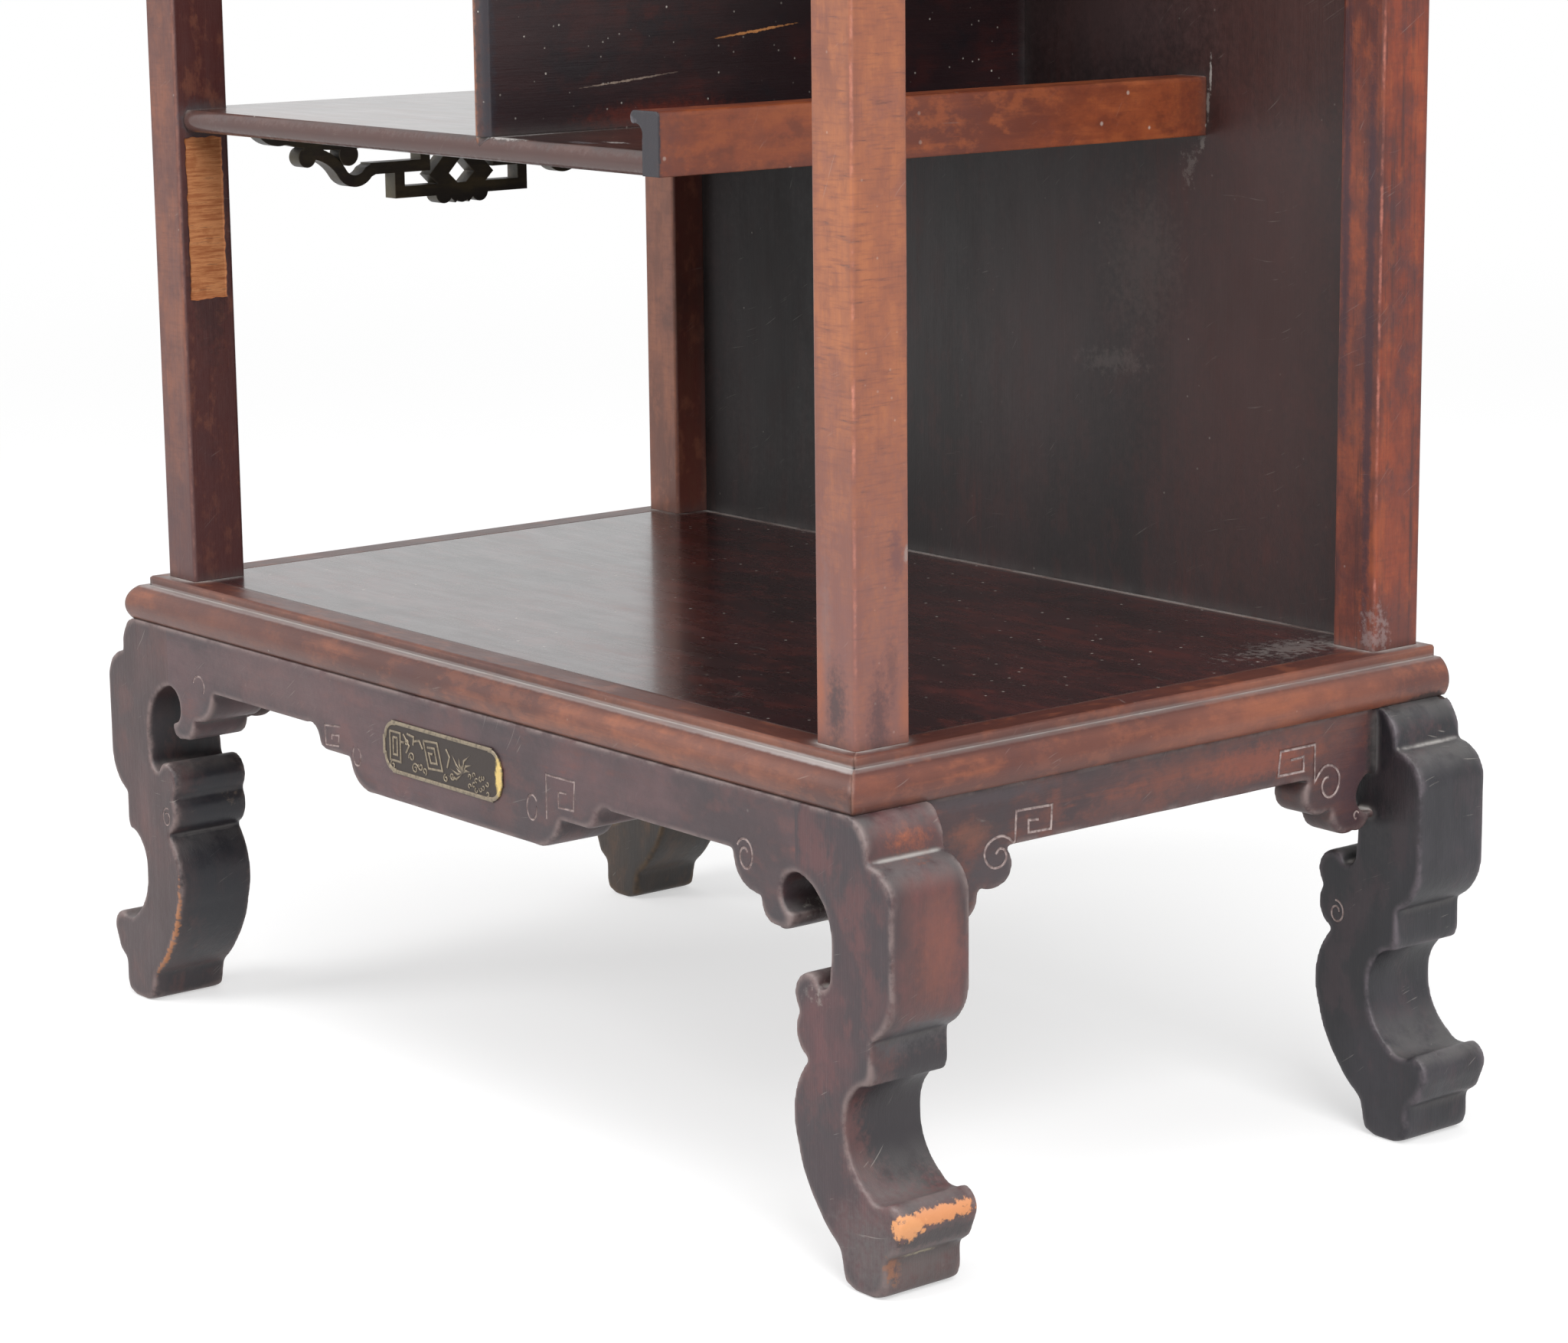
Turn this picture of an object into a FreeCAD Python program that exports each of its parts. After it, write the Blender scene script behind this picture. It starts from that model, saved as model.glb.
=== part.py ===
import FreeCAD, Part
import os
from FreeCAD import Vector

os.makedirs("parts", exist_ok=True)

# Open Chinese book cabinet on scroll-foot legs, in millimetres.
# +X runs along the front to the right, +Y to the back, +Z up.
# The origin lies on the floor under the middle of the cabinet.

# Overall sizes
post_span_x = 825.0
post_span_y = 512.0
base_height = 341.0
level_pitch = 359.0
level_count = 4

# Fits and helpers
fit = 0.15
seam = 0.3
overrun = 5.0
tiny = 0.001

# Posts: square uprights, tenoned into the base frame and the top frame
post_x = 39.0
post_y = 45.0
post_round = 3.0
post_tenon_x = 16.0
post_tenon_y = 20.0
post_tenon_seat = 8.0

# Moulded frames of base and top: fillet, ledge and nosing, mitred in front
rail_t = 33.5
rail_w = 75.0
back_rail_w = 60.0
fillet_out = 10.5
fillet_h = 7.4
fillet_round = 1.5
ledge_out = 16.5
nose_out = 25.2
nose_foot_out = 21.0
nose_mid = 22.5
back_out = 5.0
rail_tenon_l = 14.0
rail_tenon_w = 30.0
rail_tenon_t = 9.0
land_w = 25.0
panel_t = 8.0

# Back panel: one dark board held in grooves of the back posts and the rails
back_t = 10.0
back_set = 14.0
back_groove = 6.0
back_sink = 4.0

# Legs: boards sawn to an S outline, with an upturned toe and a foot pad
leg_t = 65.0
leg_face_out = 23.2
leg_reach = 70.0
leg_tenon_x = 16.0
leg_tenon_y = 36.0
leg_tenon_h = 11.0
leg_joint_in = 32.0

# Aprons: cusped boards between the legs
front_apron_t = 49.0
side_apron_t = 30.0
side_apron_out = 17.0
back_apron_set = 8.0
apron_h = 42.0
apron_drop_h = 80.5
bracket_h = 84.5
bracket_w = 64.5
side_bracket_front_w = 75.0
side_bracket_back_w = 69.0
drop_half_w = 185.0
apron_tenon_l = 10.0
apron_tenon_t = 12.0
apron_tenon_top = 8.0
apron_tenon_h = 26.0

# Plaque on the front apron
plaque_w = 147.0
plaque_h = 39.0
plaque_t = 1.6
plaque_round = 14.0
plaque_rim = 3.4
plaque_sink = 0.8
plaque_shift = 9.0

# Staggered shelves with upturned end lips
shelf_t = 16.0
shelf_in = 17.0
shelf_front_in = 6.0
shelf_reach = 626.0
shelf_nose = 4.0
shelf_tenon_l = 8.0
shelf_tenon_w = 24.0
shelf_tenon_t = 7.0
lip_t = 17.5
lip_h = 42.0
lip_tongue = 6.0

# Partitions between the shelves, mitred into their nosings
partition_in = 416.5
partition_t = 18.0
partition_tongue_t = 7.0
partition_tongue_h = 4.0
mitre_depth = 7.0

# Pierced friezes under the post end of each shelf
frieze_t = 14.0
frieze_half = 190.0
frieze_drop = 69.0
frieze_band = 9.0
frieze_limb = 13.0
frieze_inset = 2.0

# Places that follow from the sizes
half_x = post_span_x / 2
depth = nose_out + post_span_y + back_out
front_y = nose_out - depth / 2
back_y = front_y + post_span_y
frame_back_y = back_y + back_out
rail_in = rail_w - fillet_out
base_under = base_height - rail_t
top_under = base_height + level_pitch * level_count - shelf_t
top_height = top_under + rail_t
back_face_y = back_y - back_set
leg_front_y = front_y - leg_face_out
leg_back_y = frame_back_y - leg_t
shelf_y = front_y + shelf_front_in

# Leg outline. Across: shares of leg_reach outward from the post's outer face.
# Down: shares of the leg's height below the base. Rows of four are arcs through a point.
leg_shares = [
    (0.286, 0.000), (0.450, 0.026, 0.514, 0.088), (0.557, 0.091),
    (0.771, 0.117, 0.857, 0.182), (0.857, 0.351), (0.800, 0.407, 0.614, 0.452),
    (0.557, 0.459), (0.564, 0.530), (0.529, 0.553), (0.400, 0.559),
    (0.243, 0.598, 0.193, 0.660), (0.271, 0.728, 0.486, 0.780),
    (0.643, 0.796, 0.800, 0.784), (0.936, 0.802, 0.946, 0.852),
    (0.880, 0.891), (0.750, 0.909), (0.738, 0.917), (0.752, 0.963),
    (0.709, 0.989), (0.580, 1.000), (0.295, 1.000), (0.159, 0.988), (0.123, 0.950),
    (0.095, 0.922), (-0.250, 0.843, -0.480, 0.725), (-0.530, 0.642, -0.310, 0.537),
    (-0.486, 0.488, -0.429, 0.439), (-0.490, 0.386, -0.330, 0.353),
    (-0.235, 0.355, -0.170, 0.380), (-0.090, 0.378, 0.000, 0.345),
    (0.014, 0.280), (-0.129, 0.190, -0.457, 0.149), (-0.457, 0.000),
]

# Bracket at each apron end. Across: shares of its width from the leg.
# Down: shares of its height below the base.
bracket_shares = [
    (0.000, 0.545), (0.180, 0.610, 0.233, 0.746), (0.175, 0.840, 0.050, 0.870),
    (0.090, 0.970, 0.280, 1.000), (0.500, 0.945, 0.545, 0.795), (0.860, 0.735, 1.000, 0.497),
]

# The same bracket on the side aprons, where its end lobe is rounder.
side_bracket_shares = bracket_shares[:4] + [
    (0.545, 0.960, 0.605, 0.800), (0.644, 0.782), (0.740, 0.812, 0.860, 0.797),
    (1.000, 0.650, 0.907, 0.497),
]

# Stepped drop in the middle of the front apron. Across: shares of its half width.
# Down: shares from the apron's straight edge to the drop's bottom.
drop_shares = [
    (1.000, 0.000), (0.935, 0.060, 0.914, 0.240), (0.903, 0.370), (0.868, 0.430),
    (0.697, 0.430), (0.690, 0.560), (0.640, 0.880, 0.530, 1.000),
]

# End lip: across in shares of its thickness from its outer face, up in shares of its height.
# Its hook reaches inward past the first thickness.
lip_shares = [
    (0.000, 0.000), (0.000, 0.930), (0.040, 0.985), (0.160, 1.000), (1.400, 1.000),
    (1.660, 0.950, 1.685, 0.870), (1.600, 0.805, 1.450, 0.800), (1.110, 0.755, 1.000, 0.560),
    (1.000, 0.000),
]

# Frieze: across in shares of its half length from the middle, down in shares of its drop.
frieze_wave_share = [
    (0.722, 0.330), (0.665, 0.380, 0.590, 0.560), (0.530, 0.670, 0.460, 0.580), (0.430, 0.545),
]
frieze_bars_share = [
    [(0.450, 0.545), (0.180, 0.545), (0.180, -0.100)],
    [(0.308, 0.545), (0.308, 0.835), (0.000, 0.835)],
]
frieze_limb_share = [(0.110, -0.100), (0.000, 0.340), (0.112, 0.660), (0.010, 0.930)]
frieze_knobs_share = [(0.752, 0.372, 0.112), (0.553, 0.370, 0.125), (0.090, 0.885, 0.112)]
frieze_middle_knob_share = (0.000, 0.885, 0.112)
frieze_leaf_shares = [
    (1.000, 0.000), (0.955, 0.160, 0.850, 0.215), (0.700, 0.290, 0.480, 0.300),
    (0.400, 0.230), (0.370, 0.000),
]


def box(x0, x1, y0, y1, z0, z1):
    """Box between two corners."""
    return Part.makeBox(x1 - x0, y1 - y0, z1 - z0, Vector(x0, y0, z0))


def grown(x0, x1, y0, y1, z0, z1):
    """Pocket for a box, larger by the fit all round."""
    return box(x0 - fit, x1 + fit, y0 - fit, y1 + fit, z0 - fit, z1 + fit)


def chain(rows, point):
    """Edges through rows of line ends (two values) and arcs (four values)."""
    here, edges = point(*rows[0]), []
    for row in rows[1:]:
        end = point(*row[-2:])
        if len(row) == 4:
            edges.append(Part.Arc(here, point(*row[:2]), end).toShape())
        else:
            edges.append(Part.LineSegment(here, end).toShape())
        here = end
    return edges


def closed_face(edges):
    """Face inside a chain of edges, closed by a straight edge where it is open."""
    first, last = edges[0].firstVertex(True).Point, edges[-1].lastVertex(True).Point
    if first.distanceToPoint(last) > tiny:
        edges = edges + [Part.LineSegment(last, first).toShape()]
    return Part.Face(Part.Wire(edges))


def plate(rows, point, push):
    """Solid from a closed outline pushed along a vector."""
    return closed_face(chain(rows, point)).extrude(push)


def prism(corners, push):
    """Solid from straight corner points pushed along a vector."""
    return Part.Face(Part.makePolygon(list(corners) + [corners[0]])).extrude(push)


def joined(first, *others):
    """One clean solid from several that touch."""
    return first.multiFuse(list(others)).removeSplitter() if others else first


def cut(shape, tools):
    """Shape with all tools taken out."""
    return shape.cut(list(tools)).removeSplitter() if tools else shape


def flipped(shape):
    """The same piece on the other side of the cabinet."""
    return shape.mirror(Vector(0, 0, 0), Vector(1, 0, 0))


def on_side(side, shape):
    """A piece drawn for the left side, or its mirror for the right."""
    return shape if side < 0 else flipped(shape)


def swelling(apex, end):
    """Middle point of the arc that stands upright at its apex and runs to its end."""
    rise, run = end[1] - apex[1], apex[0] - end[0]
    radius = (run * run + rise * rise) / (2 * run)
    half = rise / 2
    return (apex[0] - radius + (radius * radius - half * half) ** 0.5, apex[1] + half)


def post_place(at_back):
    """Front and back planes of a post."""
    return (back_y - post_y, back_y) if at_back else (front_y, front_y + post_y)


def leg_place(at_back):
    """Front and back planes of a leg."""
    first = leg_back_y if at_back else leg_front_y
    return first, first + leg_t


def post_tenon(at_back, z0, z1):
    """Limits of a tenon of a left post between two heights."""
    y0, y1 = post_place(at_back)
    mid_x, mid_y = -half_x + post_x / 2, (y0 + y1) / 2
    return (mid_x - post_tenon_x / 2, mid_x + post_tenon_x / 2,
            mid_y - post_tenon_y / 2, mid_y + post_tenon_y / 2, z0, z1)


def leg_tenon(at_back):
    """Limits of the tenon on top of a left leg."""
    y0, y1 = leg_place(at_back)
    mid_x = -half_x + (leg_joint_in - leg_shares[0][0] * leg_reach) / 2
    mid_y = (y0 + y1) / 2
    return (mid_x - leg_tenon_x / 2, mid_x + leg_tenon_x / 2,
            mid_y - leg_tenon_y / 2, mid_y + leg_tenon_y / 2, base_under, base_under + leg_tenon_h)


def back_limits(more):
    """Limits of the back board, grown by a clearance for its grooves."""
    side = half_x - post_x + back_groove - fit + more
    return (-side, side, back_face_y - more, back_face_y + back_t + more,
            base_height - back_sink + fit - more, top_under + back_sink - fit + more)


def panel_limits(z_top, more):
    """Limits of the thin board let into a frame's top."""
    side = half_x + fillet_out - land_w
    return (-side - more, side + more, front_y - fillet_out + land_w - more,
            frame_back_y - land_w + more, z_top - panel_t, z_top)


def rail_rows():
    """Moulded section: across outward from the posts, up from the rail's top."""
    apex = (nose_out, -nose_mid)
    foot, ledge = (nose_foot_out, -rail_t), (ledge_out, -fillet_h)
    return [
        (-rail_in, -rail_t), foot, swelling(apex, foot) + apex, swelling(apex, ledge) + ledge,
        (fillet_out, -fillet_h), (fillet_out, -fillet_round), (fillet_out - fillet_round, 0.0),
        (-rail_in, 0.0),
    ]


def front_rail(z_top):
    """Front rail, mitred at both ends."""
    start = -half_x - nose_out
    bar = plate(rail_rows(), lambda o, u: Vector(start, front_y - o, z_top + u),
                Vector(-2 * start, 0, 0))
    outer, inner = half_x + nose_out, half_x - rail_in
    low = z_top - rail_t - overrun
    corners = [Vector(-outer, front_y - nose_out, low), Vector(outer, front_y - nose_out, low),
               Vector(inner, front_y + rail_in, low), Vector(-inner, front_y + rail_in, low)]
    return bar.common(prism(corners, Vector(0, 0, rail_t + 2 * overrun)))


def side_rail(z_top):
    """Left rail, mitred in front and square behind."""
    bar = plate(rail_rows(), lambda o, u: Vector(-half_x - o, front_y - nose_out, z_top + u),
                Vector(0, depth, 0))
    outer, inner = half_x + nose_out, half_x - rail_in
    low = z_top - rail_t - overrun
    corners = [Vector(-outer, front_y - nose_out, low), Vector(-inner, front_y + rail_in, low),
               Vector(-inner, frame_back_y, low), Vector(-outer, frame_back_y, low)]
    return bar.common(prism(corners, Vector(0, 0, rail_t + 2 * overrun)))


def back_rail_tenon(z_top):
    """Limits of the back rail's left tenon."""
    inner = -half_x + rail_in
    mid_y, mid_z = frame_back_y - back_rail_w / 2, z_top - (rail_t + panel_t) / 2
    return (inner - rail_tenon_l, inner, mid_y - rail_tenon_w / 2, mid_y + rail_tenon_w / 2,
            mid_z - rail_tenon_t / 2, mid_z + rail_tenon_t / 2)


def back_rail(z_top):
    """Plain back rail, tenoned between the side rails."""
    inner = half_x - rail_in
    bar = box(-inner, inner, frame_back_y - back_rail_w, frame_back_y, z_top - rail_t, z_top)
    tenon = box(*back_rail_tenon(z_top))
    return joined(bar, tenon, flipped(tenon))


def frame_parts(name, z_top, sockets):
    """Four rails and the thin board of one frame, with the left sockets cut on both sides."""
    tools = sockets + [flipped(tool) for tool in sockets]
    bed = box(*panel_limits(z_top, 0.0)[:5], z_top + overrun)
    groove = box(*back_limits(fit))
    side = cut(side_rail(z_top), [bed, groove, grown(*back_rail_tenon(z_top))] + tools)
    return {
        name + "_rail_front": cut(front_rail(z_top), [bed] + tools),
        name + "_rail_left": side,
        name + "_rail_right": flipped(side),
        name + "_rail_back": cut(back_rail(z_top), [bed, groove]),
        name + "_panel": cut(box(*panel_limits(z_top, -seam)), tools),
    }


def base_frame():
    """Moulded frame that the legs carry and the posts stand in."""
    sockets = []
    for at_back in (False, True):
        floor = base_height - panel_t - post_tenon_seat
        sockets.append(grown(*post_tenon(at_back, floor, base_height + overrun)))
        sockets.append(grown(*leg_tenon(at_back)))
    return frame_parts("base", base_height, sockets)


def top_frame():
    """Moulded frame that caps the posts."""
    roof = top_under + rail_t - panel_t - post_tenon_seat
    sockets = [grown(*post_tenon(at_back, top_under - overrun, roof)) for at_back in (False, True)]
    return frame_parts("top", top_height, sockets)


def shelf_height(level):
    """Top face of a shelf; the first shelf stands one pitch above the base."""
    return base_height + level_pitch * level


def shelf_side(level):
    """Side whose posts hold a shelf: left, right, left."""
    return -1 if level % 2 else 1


def shelf_tenons(level):
    """Limits of a left-held shelf's stub tenons in the front and back post."""
    z = shelf_height(level) - shelf_t / 2
    inner = -half_x + post_x
    spans = []
    for at_back in (False, True):
        y0, y1 = post_place(at_back)
        y0 = max(y0, shelf_y)
        mid = (y0 + min(y1, back_face_y)) / 2
        spans.append((inner - shelf_tenon_l, inner + tiny, mid - shelf_tenon_w / 2,
                      mid + shelf_tenon_w / 2, z - shelf_tenon_t / 2, z + shelf_tenon_t / 2))
    return spans


def post(side, at_back):
    """One upright with tenons at both ends and sockets for its shelves."""
    y0, y1 = post_place(at_back)
    body = box(-half_x, -half_x + post_x, y0, y1, base_height, top_under)
    upright = [e for e in body.Edges if abs(e.Vertexes[0].Z - e.Vertexes[-1].Z) > tiny]
    body = body.makeFillet(post_round, upright)
    foot = base_height - panel_t - post_tenon_seat
    head = top_height - panel_t - post_tenon_seat
    body = joined(body, box(*post_tenon(at_back, foot, base_height)),
                  box(*post_tenon(at_back, top_under, head)))
    tools = [grown(*shelf_tenons(level)[int(at_back)])
             for level in range(1, level_count) if shelf_side(level) == side]
    if at_back:
        tools.append(box(*back_limits(fit)))
    return on_side(side, cut(body, tools))


def nosed_board(u0, u1, y0, y1, z0, z1):
    """Level board with a swelling front edge."""
    mid = (z0 + z1) / 2
    rows = [(y0 + shelf_nose, z0), (y1, z0), (y1, z1), (y0 + shelf_nose, z1),
            (y0, mid, y0 + shelf_nose, z0)]
    return plate(rows, lambda y, z: Vector(u0, y, z), Vector(u1 - u0, 0, 0))


def mitre_tip(z_edge, way):
    """Pointed wedge that a left partition's front edge pushes into a shelf's nosing."""
    x0 = -half_x + partition_in
    corners = [Vector(x0, shelf_y - overrun, z_edge),
               Vector(x0 + partition_t, shelf_y - overrun, z_edge),
               Vector(x0 + partition_t / 2, shelf_y - overrun, z_edge + way * mitre_depth)]
    return prism(corners, Vector(0, overrun + 2 * shelf_nose, 0))


def tongue_limits(z_edge, way):
    """Limits of the tongue along a left partition's lower or upper edge."""
    x = -half_x + partition_in + partition_t / 2
    z0, z1 = sorted((z_edge, z_edge + way * partition_tongue_h))
    return (x - partition_tongue_t / 2, x + partition_tongue_t / 2, shelf_y + 3 * shelf_nose,
            back_face_y, z0, z1)


def plain_shelf(level):
    """A shelf as if held by the left posts, before its partition grooves are cut."""
    z1 = shelf_height(level)
    z0 = z1 - shelf_t
    mid = (z0 + z1) / 2
    end = -half_x + shelf_reach - lip_t
    body = nosed_board(-half_x + shelf_in, end, shelf_y, back_face_y, z0, z1)
    tongue = box(end, end + lip_tongue, shelf_y + 2 * shelf_nose, back_face_y,
                 mid - shelf_tenon_t / 2, mid + shelf_tenon_t / 2)
    notches = []
    for at_back in (False, True):
        y0, y1 = post_place(at_back)
        y0 = y0 if at_back else shelf_y - overrun
        y1 = y1 + overrun if at_back else y1
        notches.append(box(-half_x - overrun, -half_x + post_x, y0, y1, z0 - overrun, z1 + overrun))
    return joined(cut(body, notches), tongue, *[box(*span) for span in shelf_tenons(level)])


def shelf(level):
    """A shelf with the grooves and mitres of the partitions that meet it."""
    side, tools = shelf_side(level), []
    if level < level_count - 1:
        top = shelf_height(level)
        tools += [grown(*tongue_limits(top, -1)), mitre_tip(top, -1)]
    if level > 1:
        under = shelf_height(level) - shelf_t
        tools += [flipped(grown(*tongue_limits(under, 1))), flipped(mitre_tip(under, 1))]
    return on_side(side, cut(plain_shelf(level), tools))


def shelf_lip(level):
    """Upturned end board across the free end of a shelf."""
    z0 = shelf_height(level) - shelf_t
    outer = -half_x + shelf_reach

    def place(across, up):
        return Vector(outer - across * lip_t, shelf_y, z0 + up * lip_h)

    body = plate(lip_shares, place, Vector(0, back_face_y - shelf_y, 0))
    mid = z0 + shelf_t / 2
    slot = grown(outer - lip_t - overrun, outer - lip_t + lip_tongue, shelf_y + 2 * shelf_nose,
                 back_face_y + overrun, mid - shelf_tenon_t / 2, mid + shelf_tenon_t / 2)
    return on_side(shelf_side(level), cut(body, [slot]))


def partition(level):
    """Upright board that stands on a shelf and carries the next one."""
    z0, z1 = shelf_height(level), shelf_height(level + 1) - shelf_t
    x0 = -half_x + partition_in
    mid = x0 + partition_t / 2
    rows = [(x0, shelf_y + shelf_nose), (mid, shelf_y, x0 + partition_t, shelf_y + shelf_nose),
            (x0 + partition_t, back_face_y), (x0, back_face_y)]
    body = plate(rows, lambda x, y: Vector(x, y, z0), Vector(0, 0, z1 - z0))
    next_shelf = flipped(plain_shelf(level + 1))
    parts = [box(*tongue_limits(z0, -1)), box(*tongue_limits(z1, 1)),
             plain_shelf(level).common(mitre_tip(z0, -1)), next_shelf.common(mitre_tip(z1, 1))]
    return on_side(shelf_side(level), joined(body, *parts))


def frieze_point(level):
    """Places shares of the frieze under a left-held shelf; sign picks its half."""
    x = -half_x + post_x - frieze_t + frieze_inset
    mid_y = (front_y + back_y) / 2
    z = shelf_height(level) - shelf_t

    def point(sign):
        return lambda c, d: Vector(x, mid_y + sign * c * frieze_half, z - d * frieze_drop)
    return point


def bar_face(rows, point, width):
    """Face of even width along straight lines, mitred where they turn."""
    places = [point(*row) for row in rows]
    across = Vector(1, 0, 0)
    normals = [(b - a).normalize().cross(across) for a, b in zip(places, places[1:])]
    left, right = [], []
    for k, place in enumerate(places):
        before, after = normals[max(k - 1, 0)], normals[min(k, len(normals) - 1)]
        mitre = (before + after) * (width / 2 / (1 + before.dot(after)))
        left.append(place + mitre)
        right.insert(0, place - mitre)
    return Part.Face(Part.makePolygon(left + right + left[:1]))


def frieze(level):
    """Pierced fret of leaves, waves and a lozenge under the post end of a shelf."""
    halves = frieze_point(level)
    push = Vector(frieze_t, 0, 0)
    z = shelf_height(level) - shelf_t
    middle = halves(1)(*frieze_middle_knob_share[:2])
    pieces = []
    knobs = [(middle, frieze_middle_knob_share[2])]
    for sign in (-1, 1):
        point = halves(sign)
        pieces.append(plate(frieze_leaf_shares, point, push))
        wave = Part.Wire(chain(frieze_wave_share, point)).makeOffset2D(frieze_band / 2)
        faces = [Part.Face(wave), bar_face(frieze_limb_share, point, frieze_limb)]
        faces += [bar_face(rows, point, frieze_band) for rows in frieze_bars_share]
        pieces += [face.extrude(push) for face in faces]
        knobs += [(point(c, d), r) for c, d, r in frieze_knobs_share]
    for centre, r in knobs:
        pieces.append(Part.makeCylinder(r * frieze_drop, frieze_t, centre, Vector(1, 0, 0)))
    body = joined(pieces[0], *pieces[1:])
    above = box(-half_x, 0, front_y, back_y, z, z + frieze_drop)
    return on_side(shelf_side(level), cut(body, [above]))


def leg(side, at_back):
    """Sawn leg with its tenon and the sockets of the aprons that meet it."""
    y0, y1 = leg_place(at_back)

    def point(across, down):
        return Vector(-half_x - across * leg_reach, y0, base_under * (1 - down))

    body = plate(leg_shares, point, Vector(0, leg_t, 0))
    body = joined(body, box(*leg_tenon(at_back)))
    sockets = [grown(*front_apron_tenon(at_back)), grown(*side_apron_tenon(at_back))]
    return on_side(side, cut(body, sockets))


def apron_band(at_back):
    """Front and back planes of the front or the back apron."""
    if at_back:
        return frame_back_y - back_apron_set - side_apron_t, frame_back_y - back_apron_set
    return leg_front_y, leg_front_y + front_apron_t


def front_apron_tenon(at_back):
    """Limits of the left tenon of the front or back apron."""
    y0, y1 = apron_band(at_back)
    inner = -half_x + leg_joint_in
    mid = (y0 + y1) / 2
    high = base_under - apron_tenon_top
    return (inner - apron_tenon_l, inner, mid - apron_tenon_t / 2, mid + apron_tenon_t / 2,
            high - apron_tenon_h, high)


def side_apron_tenon(at_back):
    """Limits of the left side apron's tenon in the front or the back leg."""
    mid = -half_x - side_apron_out + side_apron_t / 2
    high = base_under - apron_tenon_top
    y0, y1 = leg_place(at_back)
    start, end = (y0, y0 + apron_tenon_l) if at_back else (y1 - apron_tenon_l, y1)
    return (mid - apron_tenon_t / 2, mid + apron_tenon_t / 2, start, end,
            high - apron_tenon_h, high)


def half_outline(half_length, width, shares, with_drop):
    """Lower edge of half an apron, from its leg to its middle, in millimetres."""
    rows = [(half_length, 0.0), (half_length, shares[0][1] * bracket_h)]
    for row in shares[1:]:
        cells = [c for pair in zip(row[0::2], row[1::2])
                 for c in (half_length - pair[0] * width, pair[1] * bracket_h)]
        rows.append(tuple(cells))
    if with_drop:
        for row in drop_shares:
            cells = [c for pair in zip(row[0::2], row[1::2])
                     for c in (pair[0] * drop_half_w,
                               apron_h + pair[1] * (apron_drop_h - apron_h))]
            rows.append(tuple(cells))
        rows.append((0.0, apron_drop_h))
    else:
        rows.append((0.0, apron_h))
    return rows + [(0.0, 0.0), (half_length, 0.0)]


def front_apron(at_back):
    """Apron between two legs along the front or the back."""
    y0, y1 = apron_band(at_back)
    half_length = half_x - leg_joint_in
    rows = half_outline(half_length, bracket_w, bracket_shares, not at_back)
    half = plate(rows, lambda c, d: Vector(-c, y0, base_under - d), Vector(0, y1 - y0, 0))
    tenon = box(*front_apron_tenon(at_back))
    return joined(half, flipped(half), tenon, flipped(tenon))


def side_apron(side):
    """Apron between a front and a back leg."""
    y0, y1 = leg_place(False)[1], leg_place(True)[0]
    mid = (y0 + y1) / 2
    outer = -half_x - side_apron_out
    halves = []
    for sign, width in ((-1, side_bracket_front_w), (1, side_bracket_back_w)):
        rows = half_outline((y1 - y0) / 2, width, side_bracket_shares, False)
        halves.append(plate(rows, lambda c, d: Vector(outer, mid + sign * c, base_under - d),
                            Vector(side_apron_t, 0, 0)))
    tenons = [box(*side_apron_tenon(at_back)) for at_back in (False, True)]
    return on_side(side, joined(*halves, *tenons))


def plaque():
    """Thin brass plate with a raised rim, on the front apron's drop."""
    mid_z = base_under - apron_drop_h / 2

    def slab(inset, y0, t, round_r):
        w, h = plaque_w - 2 * inset, plaque_h - 2 * inset
        body = Part.makeBox(w, t, h, Vector(-plaque_shift - w / 2, y0, mid_z - h / 2))
        corners = [e for e in body.Edges if abs(e.Vertexes[0].Y - e.Vertexes[-1].Y) > tiny]
        return body.makeFillet(round_r, corners)

    body = slab(0.0, leg_front_y - plaque_t, plaque_t, plaque_round)
    field = slab(plaque_rim, leg_front_y - plaque_t - overrun, plaque_sink + overrun,
                 plaque_round - plaque_rim)
    return cut(body, [field])


def cabinet():
    """All pieces of the cabinet by name."""
    pieces = {}
    pieces.update(base_frame())
    pieces.update(top_frame())
    for side, hand in ((-1, "left"), (1, "right")):
        pieces["apron_" + hand] = side_apron(side)
        for at_back, end in ((False, "front"), (True, "back")):
            pieces["leg_" + end + "_" + hand] = leg(side, at_back)
            pieces["post_" + end + "_" + hand] = post(side, at_back)
    pieces["apron_front"] = front_apron(False)
    pieces["apron_back"] = front_apron(True)
    pieces["back_panel"] = box(*back_limits(0.0))
    pieces["plaque"] = plaque()
    for level in range(1, level_count):
        pieces["shelf_%d" % level] = shelf(level)
        pieces["shelf_%d_lip" % level] = shelf_lip(level)
        pieces["frieze_%d" % level] = frieze(level)
        if level < level_count - 1:
            pieces["partition_%d" % level] = partition(level)
    return pieces


for node, shape in cabinet().items():
    print(node, "valid" if shape.isValid() else "NOT VALID", len(shape.Solids), round(shape.Volume))
    solid = shape.Solids[0] if len(shape.Solids) == 1 else shape
    solid.exportStep("parts/%s.step" % node)
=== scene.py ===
"""Dresses the open book cabinet in worn lacquer, with soft carving, engraved lines and a brass plaque."""

import logging
import math
from collections.abc import Iterator, Mapping, Sequence
from dataclasses import dataclass, field, replace
from enum import Enum

import bmesh
import bpy
import numpy as np
from mathutils import Matrix, Vector, noise


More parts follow.
